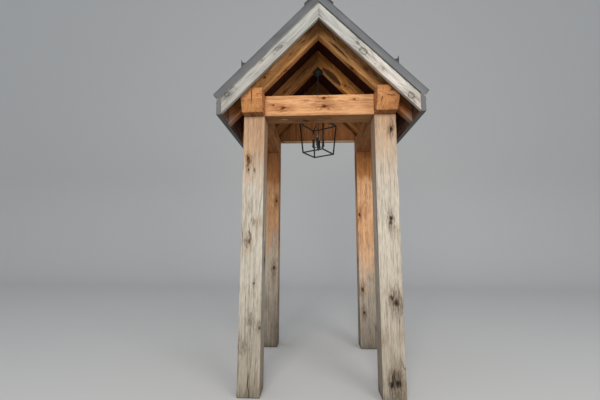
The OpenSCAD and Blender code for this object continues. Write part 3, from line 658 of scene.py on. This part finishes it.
for side, sign in SIDES.items():
    name = "rake_board_" + side
    # Painted shade: each board is darkened near its top under the edge of the roof sheet, strongly on the right.
    finish = timber_finish(
        name + "_wood", down[side], slope_spot(side, 0, -0.055 - 0.01 * sign, rake_face + 0.075),
        RAKE_TONES[side], (2.4, 0.9, 3.4, 0.95), knots=rake_knots[side], ring_width=0.014, checks=0.5,
        saw_marks=0.25, exposed=0.12, knot_stain=(0.62, 0.63, 0.6), rings=0.3, flecks=0.35, knot_fill=0.15,
        painted_shade_end=(2.88, 3.16, (0.72, 0.77, 0.79) if side == "right" else (0.96, 1.0, 1.0)))
    trim_shadow_line(finish, side, 0.95 if side == "right" else 0.5)
    sawn_timber(name, "grey_boards", finish, down[side], arris=0.0025, cell=0.03, strip=0.02,
                uneven=0.0008, seed=14 + sign, splits=[
                    (slope_spot(side, 1.00, -0.045, rake_face), slope_spot(side, 1.22, -0.042, rake_face),
                     BACKWARD, 0.0022, 0.02)])
    name = "fascia_" + side
    tail = min((corner.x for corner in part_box(name)), key=abs)
    finish = timber_finish(
        name + "_wood", BACKWARD, (tail + sign * 0.09, 0, 2.46), FASCIA_TONES, (2.4, 0.26, 2.6, 0.1),
        knots=marks("x", tail, (-0.2, 2.44, 0.014), (0.45, 2.47, 0.016)),
        checks=0.4, saw_marks=0.3, exposed=0.75)
    sawn_timber(name, "grey_boards", finish, BACKWARD, arris=0.002, cell=0.04, strip=0.03,
                uneven=0.0006, seed=17 + sign)


# ---- Roof deck ----
# Five wide planks on each slope, nailed across the rafters with narrow gaps between them. Only their
# undersides and front ends show: rough sawn and red-brown, painted darker still as the shade under the roof.

DECK_TONES = ((0.075, 0.018, 0.01), (0.03, 0.007, 0.004), (0.16, 0.1, 0.065), (0.07, 0.045, 0.03))
BOARD_STEP = 0.277
for side, sign in SIDES.items():
    turn_flat = down[side].rotation_difference(Vector(RIGHTWARD))
    row = {"start": -(turn_flat @ Vector((0, 0, PEAK))), "turn": turn_flat.to_euler(),
           "width": BOARD_STEP, "depth": 0.05}
    finish = timber_finish(
        f"deck_{side}_wood", BACKWARD, (0, 0, 0), DECK_TONES, (2.4, 0.05, 3.4, 0.02),
        checks=0.4, saw_marks=0.8, board=row)
    sawn_timber("deck_boards_" + side, "deck_timber", finish, BACKWARD, arris=0.0015, cell=0.06,
                strip=0.045, uneven=0.0006, seed=20 + sign)


# ---- Gable boards against the back ----
# Nine upright planks close the gable behind the rear rafters, with a small strip under them. They are
# rough sawn and orange-brown, with dark joints and two rows of nails.

WALL_TONES = ((0.37, 0.155, 0.052), (0.155, 0.05, 0.015), (0.36, 0.22, 0.12), (0.18, 0.1, 0.055))
STRIP_TONES = ((0.64, 0.45, 0.28), (0.4, 0.25, 0.13), (0.6, 0.5, 0.38), (0.36, 0.28, 0.2))
PLANK_WIDTH, HALF_TONGUE = 0.206, 0.003
board_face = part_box("back_boards")[0].y
plank_finish = timber_finish(
    "gable_board_wood", UP, (0, 0, 0), WALL_TONES, (2.6, 0.05, 3.4, 0.02), checks=0.4, saw_marks=0.5,
    board={"start": (PLANK_WIDTH / 2, 0, 0), "turn": (0, 0, 0), "width": PLANK_WIDTH, "depth": 0.035})
sawn_timber("back_boards", "wall_timber", plank_finish, UP, arris=0.002, cell=0.05, strip=0.04,
            uneven=0.0006, seed=23)
finish = timber_finish("gable_strip_wood", RIGHTWARD, (0, 0.72, 2.63), STRIP_TONES, (2.6, 0.1, 2.7, 0.1))
sawn_timber("back_board_strip", "wall_timber", finish, RIGHTWARD, arris=0.002, cell=0.04, strip=0.02,
            uneven=0.0005, seed=24)

# The planks are tongued: a thin tongue in each joint keeps the light out.
work = bmesh.new()
for i in range(-4, 4):
    joint = (i + 0.5) * PLANK_WIDTH
    plan = [(x, y) for x in (joint - HALF_TONGUE, joint + HALF_TONGUE)
            for y in (board_face + 0.008, cad_high.y - 0.0005)]
    low_row = [work.verts.new((x, y, plate_top)) for x, y in plan]
    high_row = [work.verts.new((x, y, under_roof(x) - 0.002)) for x, y in plan]
    for a, b in ((0, 1), (1, 3), (3, 2), (2, 0)):
        work.faces.new((low_row[a], low_row[b], high_row[b], high_row[a]))
    work.faces.new([low_row[k] for k in (0, 2, 3, 1)])
    work.faces.new([high_row[k] for k in (0, 1, 3, 2)])
bmesh.ops.recalc_face_normals(work, faces=work.faces)
fit(as_object("gable_board_tongues", work, plank_finish), "wall_timber")


# ---- Roof sheets ----
# Ribbed steel sheets in satin charcoal paint run from ridge to eave on each slope: seven tall ribs with
# two low ones in each pan. They are fixed with washered hex screws beside the ribs, and their front
# edges are turned down over the trims. Dust lies in runs down the slope.

paint_effect, given, made = new_group(
    "weathered_paint", "Shader",
    {"Vector": ("Place",), "Color": ("Paint", "Dust"), "Float": ("Dusting", "Satin")},
    {"Color": ("Colour",), "Float": ("Roughness", "Height")})
place = given["Place"]
cloud = mottle(place, (1, 1, 1), 6.0, 4.0)
runs = mottle(place, (1, 1, 0.07), 45.0)
grit = mottle(place, (1, 1, 1), 420.0, 2.0)
film = fade(runs * 0.55 + cloud * 0.6, 0.42, 0.78) * given["Dusting"]
colour = tint(film, given["Paint"], given["Dust"])
tint(fade(grit, 0.6, 0.72) * (given["Dusting"] * 0.4), colour, given["Dust"]).into(made["Colour"])
(film * 0.3 + (cloud * 0.14 + given["Satin"])).into(made["Roughness"])
(mottle(place, (1, 1, 0.5), 4.0, 1.0) * 0.9 + grit * 0.03).into(made["Height"])


def paint_finish(name, along, paint, dust, dusting, satin):
    """Painted or coated metal whose runs of dust follow one direction."""
    finish, rest, surface = new_finish(name)
    turn = Vector(along).rotation_difference(Vector(UP))
    coat = lay(rest.tree, "ShaderNodeGroup", {
        "Place": mapped(rest, turn.to_euler()), "Paint": paint, "Dust": dust, "Dusting": dusting,
        "Satin": satin}, "Colour", node_tree=paint_effect)
    dress(surface, coat, coat, 0.5, 0.45)
    return finish


def close_tree(shape, finish, way_out):
    real = lay(shape.tree, "GeometryNodeRealizeInstances", {0: shape})
    lay(shape.tree, "GeometryNodeSetMaterial", {"Geometry": real, "Material": finish}).into(way_out["Geometry"])


def grown(name, tree, values, points=(), facings=()):
    """Runs a geometry tree on loose points and keeps the plain mesh that it makes."""
    mesh = bpy.data.meshes.new(name)
    mesh.from_pydata([tuple(p) for p in points], [], [])
    if facings:
        mark = mesh.attributes.new("facing", "FLOAT_VECTOR", "POINT")
        mark.data.foreach_set("vector", [c for f in facings for c in f])
    piece = stand_in_scene(name, mesh)
    grow = piece.modifiers.new("grow", "NODES")
    grow.node_group = tree
    for item in tree.interface.items_tree:
        if item.in_out == "INPUT" and item.name in values:
            grow[item.identifier] = values[item.name]
    return plain_mesh(piece)


# The sheet's profile: a flat grid lifted wherever a tall or a low rib stands.
sheet_tree, given, way_out = new_group("ribbed_sheet", "Geometry", {
    "Geometry": ("Geometry",), "Material": ("Finish",),
    "Float": ("Length", "Width", "First rib", "Rib spacing", "Rib foot", "Rib crest", "Rib height",
              "Low rib height")}, {"Geometry": ("Geometry",)})
LOW_RIB_HALF_FOOT, LOW_RIB_SHOULDER, ROWS_DOWN, ROWS_ACROSS = 0.011, 0.006, 18, 533
grid = lay(sheet_tree, "GeometryNodeMeshGrid", {
    "Size X": given["Length"], "Size Y": given["Width"], "Vertices X": ROWS_DOWN, "Vertices Y": ROWS_ACROSS})
spot = lay(sheet_tree, "GeometryNodeInputPosition")
across = spot.part("Y") + given["Width"] * 0.5
half_step = given["Rib spacing"] * 0.5
off = abs((across - given["First rib"]).calc("WRAP", half_step, half_step * -1.0))
run_up = (given["Rib foot"] - off * 2.0) / (given["Rib foot"] - given["Rib crest"])
low_off = abs(off - given["Rib spacing"] / 3.0)
low_run_up = (LOW_RIB_HALF_FOOT - low_off) / LOW_RIB_SHOULDER
tall = lay(sheet_tree, "ShaderNodeClamp", {0: run_up}) * given["Rib height"]
low = lay(sheet_tree, "ShaderNodeClamp", {0: low_run_up}) * given["Low rib height"]
wave = lay(sheet_tree, "ShaderNodeTexNoise", {"Scale": 3.0, "Detail": 1.0})
lifted = lay(sheet_tree, "ShaderNodeCombineXYZ", {
    0: spot.part("X") + given["Length"] * 0.5, 1: across, 2: wave * 0.0007 + (tall + low)})
close_tree(lay(sheet_tree, "GeometryNodeSetPosition", {"Geometry": grid, "Position": lifted}),
           given["Finish"], way_out)

# A washered hex screw or a plain nail head, stood on every point and turned at random about its shank.
head_tree, given, way_out = new_group("fixing_heads", "Geometry", {
    "Geometry": ("Geometry",), "Material": ("Finish",), "Int": ("Head sides",),
    "Float": ("Washer radius", "Washer thickness", "Head radius", "Head height")}, {"Geometry": ("Geometry",)})
thick = given["Washer thickness"]
washer = lay(head_tree, "GeometryNodeMeshCylinder", {
    "Vertices": 16, "Radius": given["Washer radius"], "Depth": thick}, "Mesh")
head = lay(head_tree, "GeometryNodeMeshCone", {
    "Vertices": given["Head sides"], "Radius Bottom": given["Head radius"],
    "Radius Top": given["Head radius"] * 0.82, "Depth": given["Head height"]}, "Mesh")
washer, head = (
    lay(head_tree, "GeometryNodeTransform", {
        0: shape, "Translation": lay(head_tree, "ShaderNodeCombineXYZ", {2: height})})
    for shape, height in ((washer, thick * 0.5), (head, thick)))
whole = lay(head_tree, "GeometryNodeJoinGeometry", {0: head})
washer.into(whole.socket.node.inputs[0])
chance = head_tree.nodes.new("FunctionNodeRandomValue")
chance.data_type = "FLOAT"
for label, value in (("Min", 0.0), ("Max", 6.283), ("Seed", 7)):
    next(s for s in chance.inputs if s.name == label and s.enabled).default_value = value
twist = lay(head_tree, "FunctionNodeAxisAngleToRotation", {
    "Axis": UP, "Angle": Wire(next(s for s in chance.outputs if s.enabled))})
stand = lay(head_tree, "GeometryNodeInputNamedAttribute", {"Name": "facing"}, data_type="FLOAT_VECTOR")
stand = lay(head_tree, "FunctionNodeAlignRotationToVector", {"Vector": stand}, axis="Z")
stand = lay(head_tree, "FunctionNodeRotateRotation", {0: stand, 1: twist}, rotation_space="LOCAL")
close_tree(lay(head_tree, "GeometryNodeInstanceOnPoints", {
    "Points": given["Geometry"], "Instance": whole, "Rotation": stand}), given["Finish"], way_out)


def fixings(name, slot, kind, spots, facing):
    """A screw or nail head on every spot; facing is one direction, or a list with one for each."""
    fit(grown(name, head_tree, kind, spots, facing if isinstance(facing, list) else [facing] * len(spots)), slot)


FRONT, BACK = (corner.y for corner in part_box("roof_panel_left"))
RIB_STEP, FIRST_RIB, RIB_RISE = 0.229, 0.03, 0.016
PANEL_TOP = 0.0216
CREST_TOP = PANEL_TOP + RIB_RISE
FLANGE_TOP = CREST_TOP + 0.0016
PANEL_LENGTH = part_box("fascia_right")[1].x / math.cos(PITCH) + 0.01
BESIDE_RIB = 0.036
PAN_ROWS, LAP_ROWS = (0.2, 0.55, 0.88, 1.22), (0.18, 0.45, 0.72, 0.99, 1.24)
BACK_ROWS = (0.16, 0.42, 0.68, 0.94, 1.18)
CHARCOAL = ((0.05, 0.054, 0.06), (0.17, 0.165, 0.155))
ribs = [FRONT + FIRST_RIB + RIB_STEP * i for i in range(7)]
beside_ribs = [y + BESIDE_RIB for y in ribs[:-1]] + [ribs[-1] - BESIDE_RIB]
screw_finish = paint_finish("screw_paint", UP, (0.09, 0.095, 0.1), (0.25, 0.24, 0.22), 0.4, 0.4)
SCREW = {"Washer radius": 0.0072, "Washer thickness": 0.0014, "Head radius": 0.0052, "Head height": 0.0045,
         "Head sides": 6, "Finish": screw_finish}
roof_finish = {}

for side, sign in SIDES.items():
    roof_finish[side] = paint_finish(f"roof_paint_{side}", down[side], *CHARCOAL, 0.5, 0.36)
    sheet = grown("roof_sheet_" + side, sheet_tree, {
        "Length": PANEL_LENGTH - 0.003, "Width": BACK - FRONT, "First rib": FIRST_RIB, "Rib spacing": RIB_STEP,
        "Rib foot": 0.045, "Rib crest": 0.022, "Rib height": RIB_RISE - 0.0004, "Low rib height": 0.0035,
        "Finish": roof_finish[side]})
    lean = Matrix((down[side], (0, 1, 0), out[side])).transposed().to_4x4()
    sheet.data.transform(Matrix.Translation(slope_spot(side, 0.003, PANEL_TOP - 0.0004, FRONT)) @ lean)
    if sign < 0:
        sheet.data.flip_normals()
    wall = sheet.modifiers.new("gauge", "SOLIDIFY")
    wall.thickness, wall.offset = 0.0008, -1
    plain_mesh(sheet)
    sheet.data.shade_smooth()
    sheet.data.set_sharp_from_angle(angle=0.7)
    fit(sheet, "roof_metal", "roof_panel_" + side)
    spots = [slope_spot(side, u, PANEL_TOP + 0.0002, y) for y in beside_ribs for u in PAN_ROWS]
    spots += [slope_spot(side, u, FLANGE_TOP, FRONT + 0.032) for u in LAP_ROWS]
    spots += [slope_spot(side, u, PANEL_TOP + 0.0016, BACK - 0.024) for u in BACK_ROWS]
    fixings("roof_screws_" + side, "roof_metal", SCREW, spots, out[side])


# ---- Ridge cap and flashings ----
# A folded cap straddles the ridge on foam closures and is screwed down into every rib, and flashings
# seal the sheets at the back. All are bent from the same charcoal sheet as the roof.

def eased(line, radius):
    """A folded line with each bend drawn round by a few short steps."""
    result = [Vector(line[0])]
    for before, corner, after in zip(line, line[1:], line[2:]):
        corner = Vector(corner)
        come, go = Vector(before) - corner, Vector(after) - corner
        r = min(radius, come.length * 0.45, go.length * 0.45)
        start, stop = corner + come.normalized() * r, corner + go.normalized() * r
        for k in range(5):
            t = k / 4
            result.append(start * (1 - t) ** 2 + corner * 2 * t * (1 - t) + stop * t ** 2)
    return result + [Vector(line[-1])]


def smooth_solid(name, work, finish, sharp=0.6):
    bmesh.ops.recalc_face_normals(work, faces=work.faces)
    shade_smooth(work, sharp)
    return as_object(name, work, finish)


def folded_sheet(name, line, gauge, stations, spot, finish):
    """A sheet bent along a line of (a, b) points and run through stations; spot places (a, b, station)."""
    sides = ([], [])
    for i, point in enumerate(line):
        ways = [(b - a).normalized() for a, b in zip(line[max(i - 1, 0):i + 2], line[max(i - 1, 0) + 1:i + 2])]
        way = sum(ways, Vector((0, 0))).normalized()
        square = Vector((-way.y, way.x)) * gauge / 2 / max(way.dot(ways[0]), 0.3)
        sides[0].append(point + square)
        sides[1].append(point - square)
    outline = sides[0] + sides[1][::-1]
    work = bmesh.new()
    rows = [[work.verts.new(spot(p.x, p.y, s)) for p in outline] for s in stations]
    for near, far in zip(rows, rows[1:]):
        for k in range(len(outline)):
            work.faces.new((near[k], near[(k + 1) % len(outline)], far[(k + 1) % len(outline)], far[k]))
    for row in (rows[0], rows[-1]):
        for k in range(len(line) - 1):
            work.faces.new((row[k], row[k + 1], row[len(outline) - 2 - k], row[len(outline) - 1 - k]))
    return smooth_solid(name, work, finish, 0.7)


def leaf_point(side, u, v):
    spot = slope_spot(side, u, v, 0)
    return Vector((spot.x, spot.z))


def repaint(node, finish):
    """Puts a finish on a CAD node that stays as it is."""
    nodes[node].data.materials.clear()
    nodes[node].data.materials.append(finish)


CAP_WIDTH, CAP_TOP, CAP_GAUGE = 0.132, FLANGE_TOP + 0.0156, 0.0008
lip = (CAP_WIDTH - CAP_GAUGE, FLANGE_TOP + 0.0005)
bend = (CAP_WIDTH - CAP_GAUGE / 2, CAP_TOP - CAP_GAUGE / 2)
ridge_line = [leaf_point("left", *lip), leaf_point("left", *bend), Vector((0, PEAK + bend[1] / math.cos(PITCH))),
              leaf_point("right", *bend), leaf_point("right", *lip)]
cap_front, cap_back = (corner.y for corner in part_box("ridge_cap"))
lengths = [cap_front + (cap_back - cap_front) * i / 12 for i in range(13)]
cap_finish = paint_finish("ridge_cap_paint", (0, 1, 0), *CHARCOAL, 0.45, 0.36)
fit(folded_sheet("ridge_cap_fold", eased(ridge_line, 0.004), CAP_GAUGE, lengths,
                 lambda a, b, s: (a, s, b), cap_finish), "roof_metal", "ridge_cap")
spots = [slope_spot(side, CAP_WIDTH - 0.024, CAP_TOP, y) for side in SIDES for y in ribs]
fixings("ridge_screws", "roof_metal", SCREW, spots, [out[side] for side in SIDES for y in ribs])
for side in SIDES:
    repaint("wall_flashing_" + side, roof_finish[side])
repaint("ridge_closures", paint_finish(
    "closure_foam_finish", UP, (0.022, 0.022, 0.024), (0.12, 0.115, 0.105), 0.3, 0.85))


# ---- Rake trims, eave trims and fascia covers ----
# Light gauge trim in satin grey: a face with a hemmed lower edge runs up each rake in front of the
# boards, with the dark edge of the sheet turned down over it; a kicked drip runs along each eave, and
# a cover wraps the fascia's outer face, underside and front end.

TRIM_GREY = {"left": (0.057, 0.058, 0.061), "right": (0.088, 0.093, 0.099)}
COVER_GREY = (0.082, 0.083, 0.08)
TRIM_DUST = (0.17, 0.172, 0.17)
HEM_V, LAP_V, TRIM_GAUGE = -0.025, 0.0285, 0.0006
front_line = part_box("rake_trim_left")[0].y
shares = [i / 16 for i in range(17)]
hem_top, lap_top = FLANGE_TOP - 0.0014, FLANGE_TOP - 0.0003
hemmed = [Vector((front_line + forward, v)) for forward, v in (
    (0.0013, HEM_V + 0.012), (0.0013, HEM_V + 0.0012), (0.0004, HEM_V + 0.0004), (0.0004, LAP_V - 0.006),
    (0.0012, LAP_V + 0.001), (0.0012, hem_top), (0.05, hem_top))]
lap = [Vector((front_line + forward, v)) for forward, v in ((0.0003, LAP_V), (0.0003, lap_top), (0.045, lap_top))]
COVER_SCREW = {**SCREW, "Washer radius": 0.0048, "Washer thickness": 0.0006, "Head radius": 0.0038,
               "Head height": 0.0016, "Head sides": 12}
for side, sign in SIDES.items():
    def up_the_rake(a, b, s, side=side):
        top = -b * math.tan(PITCH)
        return slope_spot(side, top + (PANEL_LENGTH - top) * s, b, a)

    trim_finish = paint_finish(f"trim_paint_{side}", down[side], TRIM_GREY[side], TRIM_DUST, 0.4, 0.45)
    fit(folded_sheet("rake_trim_fold_" + side, eased(hemmed, 0.0012), TRIM_GAUGE, shares, up_the_rake,
                     trim_finish), "trim_metal", "rake_trim_" + side)
    fit(folded_sheet("sheet_front_lap_" + side, eased(lap, 0.0022), TRIM_GAUGE, shares, up_the_rake,
                     roof_finish[side]), "roof_metal")
    edge_finish = paint_finish(f"eave_paint_{side}", UP, COVER_GREY, TRIM_DUST, 0.3, 0.45)
    repaint("eave_trim_" + side, edge_finish)
    repaint("fascia_cap_" + side, edge_finish)
    drip = sign * (max(abs(corner.x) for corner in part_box("fascia_" + side)) + 0.0016)
    spots = [(drip, FRONT + 0.12 + 0.339 * i, under_roof(drip) - drop) for i in range(5) for drop in (0.02, 0.125)]
    fixings("trim_screws_" + side, "trim_metal", {**COVER_SCREW, "Finish": edge_finish}, spots, (sign, 0, 0))

# Board nails: pairs of galvanised heads at the ends and joints of the rake boards and over the gable boards.
nail_finish = paint_finish("nail_zinc", UP, (0.22, 0.21, 0.2), (0.16, 0.1, 0.06), 0.7, 0.5)
NAIL = {"Washer radius": 0.004, "Washer thickness": 0.0006, "Head radius": 0.003, "Head height": 0.0004,
        "Head sides": 12, "Finish": nail_finish}
TOWARDS_FRONT = (0, -1, 0)
spots = [slope_spot(side, u, v, rake_face + 0.0004) for side in SIDES for u in (0.07, 0.42, 0.8, 1.17)
         for v in (-0.035, -0.105) if u > 0.1 or v > -0.05]
fixings("rake_board_nails", "grey_boards", NAIL, spots, TOWARDS_FRONT)
spots = [(x, board_face + 0.0004, z) for i in range(-3, 4)
         for x in (i * PLANK_WIDTH - 0.06, i * PLANK_WIDTH + 0.06)
         for z in (2.7, 3.02, 3.3) if z < under_roof(x) - 0.2]
fixings("gable_board_nails", "wall_timber", NAIL, spots, TOWARDS_FRONT)


# ---- Snow guards ----
# Fourteen black fins, one on every rib, hold back sliding snow: each is a cast shoe with an upright
# edge and a hollowed back, held by one hex screw through its foot.

GUARD_SCREW_U, SHOE_THICKNESS = 0.945 - 0.082, 0.003
guard_finish = paint_finish("guard_coating", UP, (0.014, 0.015, 0.017), (0.1, 0.095, 0.09), 0.2, 0.45)


def eased_solid(name, node, slot, finish, width, fold, sharp):
    """A CAD solid with its outer edges rounded."""
    work = solid_copy(node)
    ease_edges(work, width, 0.5, fold)
    shade_smooth(work, sharp)
    fit(as_object(name, work, finish), slot, node)


for side in SIDES:
    eased_solid("cast_guards_" + side, "snow_guards_" + side, "guard_metal", guard_finish, 0.0014, 0.6, 0.45)
    spots = [slope_spot(side, GUARD_SCREW_U, SHOE_THICKNESS + (CREST_TOP if i else FLANGE_TOP), y)
             for i, y in enumerate(ribs)]
    fixings("guard_screws_" + side, "guard_metal", SCREW, spots, out[side])


# ---- Lantern ----
# A tapered open cage of square black bars hangs on a rigid rod from a rose under the middle rafters.
# Inside, a turned hub carries four candle sleeves with clear flame-shaped bulbs on brass collars.

iron = paint_finish("lantern_black", UP, (0.012, 0.012, 0.013), (0.08, 0.075, 0.07), 0.2, 0.42)
for name, edge in (("lantern_cage", 0.0011), ("lantern_wedge", 0.002), ("candle_cluster", 0.0006)):
    eased_solid("black_" + name, name, "lantern_metal", iron, edge, 0.9, 0.6)


def polar(radius, angle, height=0):
    return Vector((radius * math.cos(angle), radius * math.sin(angle), height))


def turned(work, outline, centre, sides):
    """Adds a closed turned form to a bmesh: outline gives (radius, height) from axis to axis."""
    rings = []
    for radius, height in outline:
        count = sides if radius > 0 else 1
        ring = [work.verts.new(centre + polar(radius, 2 * math.pi * k / sides, height)) for k in range(count)]
        rings.append(ring * (sides // count))
    for a, b in zip(rings, rings[1:]):
        for k in range(sides):
            corners = list(dict.fromkeys((a[k], a[(k + 1) % sides], b[(k + 1) % sides], b[k])))
            if len(corners) > 2:
                work.faces.new(corners)


low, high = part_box("lantern_rose")
hang = Vector(((low.x + high.x) / 2, (low.y + high.y) / 2, 0))
stem_low, stem_high = (corner.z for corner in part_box("lantern_stem"))
length = stem_high - stem_low
for name, node, foot, sides, outline in (
        ("ceiling_rose", "lantern_rose", low.z, 48, [
            (0, 0), (0.0115, 0), (0.012, 0.002), (0.0125, 0.012), (0.016, 0.015), (0.021, 0.0175),
            (0.031, 0.0215), (0.04, 0.028), (0.0465, 0.036), (0.048, 0.0385), (0.052, 0.0395),
            (0.0545, 0.042), (0.0548, 0.05), (0, 0.05)]),
        ("hanging_rod", "lantern_stem", stem_low, 24, [
            (0, 0), (0.006, 0), (0.006, 0.001), (0.0058, 0.02), (0.005, 0.021), (0.005, length * 0.5 - 0.011),
            (0.006, length * 0.5 - 0.01), (0.006, length * 0.5 + 0.01), (0.005, length * 0.5 + 0.011),
            (0.005, length - 0.024), (0.006, length - 0.022), (0.006, length), (0, length)])):
    work = bmesh.new()
    turned(work, outline, hang + Vector((0, 0, foot)), sides)
    fit(smooth_solid(name, work, iron), "lantern_metal", node)

glass, rest, surface = new_finish("bulb_clear_glass")
surface["Transmission Weight"].default_value = 1.0
surface["IOR"].default_value = 1.45
haze = mottle(rest, (1, 1, 1), 120.0, 2.0)
fade(haze, 0.45, 0.7, 0.02, 0.1).into(surface["Roughness"])
tint(fade(haze, 0.5, 0.8), (1.0, 0.985, 0.95), (0.93, 0.92, 0.88)).into(surface["Base Color"])
brass = paint_finish("collar_brass", UP, (0.62, 0.42, 0.16), (0.3, 0.2, 0.1), 0.4, 0.3)
brass.node_tree.nodes["Principled BSDF"].inputs["Metallic"].default_value = 1.0
warm_wire = paint_finish("filament_wire", UP, (0.8, 0.52, 0.22), (0.9, 0.7, 0.4), 0.4, 0.35)
ARM_REACH, GLASS_WALL, THIRD_TURN = 0.056, 0.0006, 2.094
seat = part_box("candle_bulbs")[0].z
bulbs, collars, wires = bmesh.new(), bmesh.new(), bmesh.new()
outside = [(0.0084, 0.008), (0.0098, 0.013), (0.0118, 0.018), (0.0134, 0.0235), (0.0139, 0.029), (0.0134, 0.035),
           (0.0121, 0.041), (0.01, 0.048), (0.0072, 0.056), (0.0044, 0.063), (0.0024, 0.068), (0.0, 0.0718)]
inside = [(max(r - GLASS_WALL, 0.0), h - (0.0008 if r < 0.004 else 0)) for r, h in outside]
for k in range(4):
    angle = math.radians(-12 + 90 * k)
    centre = hang + polar(ARM_REACH, angle, seat)
    turned(bulbs, outside + inside[::-1] + outside[:1], centre, 24)
    turned(collars, [(0, 0), (0.0088, 0), (0.0088, 0.0015), (0.008, 0.0022), (0.0086, 0.0034), (0.008, 0.0046),
                     (0.0086, 0.0058), (0.0082, 0.0078), (0.0078, 0.0092), (0, 0.0092)], centre, 24)
    turned(wires, [(0, 0.0093), (0.002, 0.0093), (0.0014, 0.016), (0.0008, 0.026), (0, 0.026)], centre, 10)
    for strand in range(3):
        foot = centre + polar(0.003, angle + strand * THIRD_TURN)
        turned(wires, [(0, 0.024), (0.0005, 0.024), (0.0005, 0.052), (0, 0.052)], foot, 6)
bmesh.ops.remove_doubles(bulbs, verts=bulbs.verts, dist=1e-6)
fit(smooth_solid("candle_bulb_glass", bulbs, glass, 1.2), "bulb_glass", "candle_bulbs")
fit(smooth_solid("bulb_collars", collars, brass), "bulb_glass")
fit(smooth_solid("bulb_filaments", wires, warm_wire), "bulb_glass")


# ---- Studio ----
# Not part of the canopy: one pale sheet is the floor and curves up behind, a dim sky gives the even
# daylight, and two large soft lamps stand in front, the stronger one near the middle.

FLOOR_TONE, SEEN_TONE = (0.42, 0.415, 0.405), (0.62, 0.615, 0.6)
HALF_WIDTH, FRONT_EDGE, BEND_START, BEND_RADIUS, TOP_EDGE = 18, -16, 5, 4, 18
work = bmesh.new()
profile = [(FRONT_EDGE, -0.001), (BEND_START, -0.001)]
profile += [(BEND_START + BEND_RADIUS * math.sin(a), BEND_RADIUS - (BEND_RADIUS + 0.001) * math.cos(a))
            for a in (step * math.pi / 24 for step in range(1, 13))]
profile += [(BEND_START + BEND_RADIUS, TOP_EDGE)]
rows = [[work.verts.new((x, y, z)) for y, z in profile] for x in (-HALF_WIDTH, HALF_WIDTH)]
for i in range(len(profile) - 1):
    work.faces.new((rows[0][i], rows[1][i], rows[1][i + 1], rows[0][i + 1])).smooth = True
paper = bpy.data.materials.new("backdrop_paper")
paper.use_nodes = True
surface = paper.node_tree.nodes["Principled BSDF"].inputs
ray = lay(paper.node_tree, "ShaderNodeLightPath", way_out="Is Camera Ray")
seen = ray.calc("MAXIMUM", ray.beside("Is Glossy Ray")).calc("MAXIMUM", ray.beside("Is Transmission Ray"))
tint(seen, FLOOR_TONE, SEEN_TONE).into(surface["Base Color"])
surface["Roughness"].default_value = 0.9
as_object("backdrop", work, paper)

sky = bpy.data.worlds.new("studio_sky")
sky.use_nodes = True
sky.node_tree.nodes["Background"].inputs["Color"].default_value = (0.88, 0.93, 1.0, 1)
sky.node_tree.nodes["Background"].inputs["Strength"].default_value = 0.55
bpy.context.scene.world = sky


def soft_lamp(name, place, aim, width, power, warmth):
    light = bpy.data.lights.new(name, "AREA")
    light.size, light.energy, light.color = width, power, warmth
    stand = stand_in_scene(name, light)
    stand.location = place
    stand.rotation_euler = (Vector(aim) - Vector(place)).to_track_quat("-Z", "Y").to_euler()


soft_lamp("main_lamp", (-1.0, -7.6, 3.4), (0, 0, 1.9), 3.5, 400, (1.0, 0.97, 0.92))
soft_lamp("fill_lamp", (5.0, -6.5, 3.2), (0, 0, 1.8), 4.0, 230, (1.0, 0.98, 0.95))

# The camera stands where the photograph was taken, a little left of the middle and looking up.
FOCAL_PX, PHOTO_WIDTH_PX = 296.24, 600
eye = bpy.data.cameras.new("photo_camera")
eye.sensor_width = 36
eye.lens = FOCAL_PX * eye.sensor_width / PHOTO_WIDTH_PX
camera = stand_in_scene("photo_camera", eye)
YAW, PITCH_UP, ROLL = math.radians(2.79), math.radians(7.41), math.radians(0.14)
camera.matrix_world = (
    Matrix.Translation((-0.0463, -3.1927, 1.317)) @ Matrix.Rotation(YAW, 4, "Z")
    @ Matrix.Rotation(math.pi / 2 + PITCH_UP, 4, "X") @ Matrix.Rotation(ROLL, 4, "Z"))
bpy.context.scene.camera = camera
bpy.context.scene.view_settings.view_transform = "Standard"
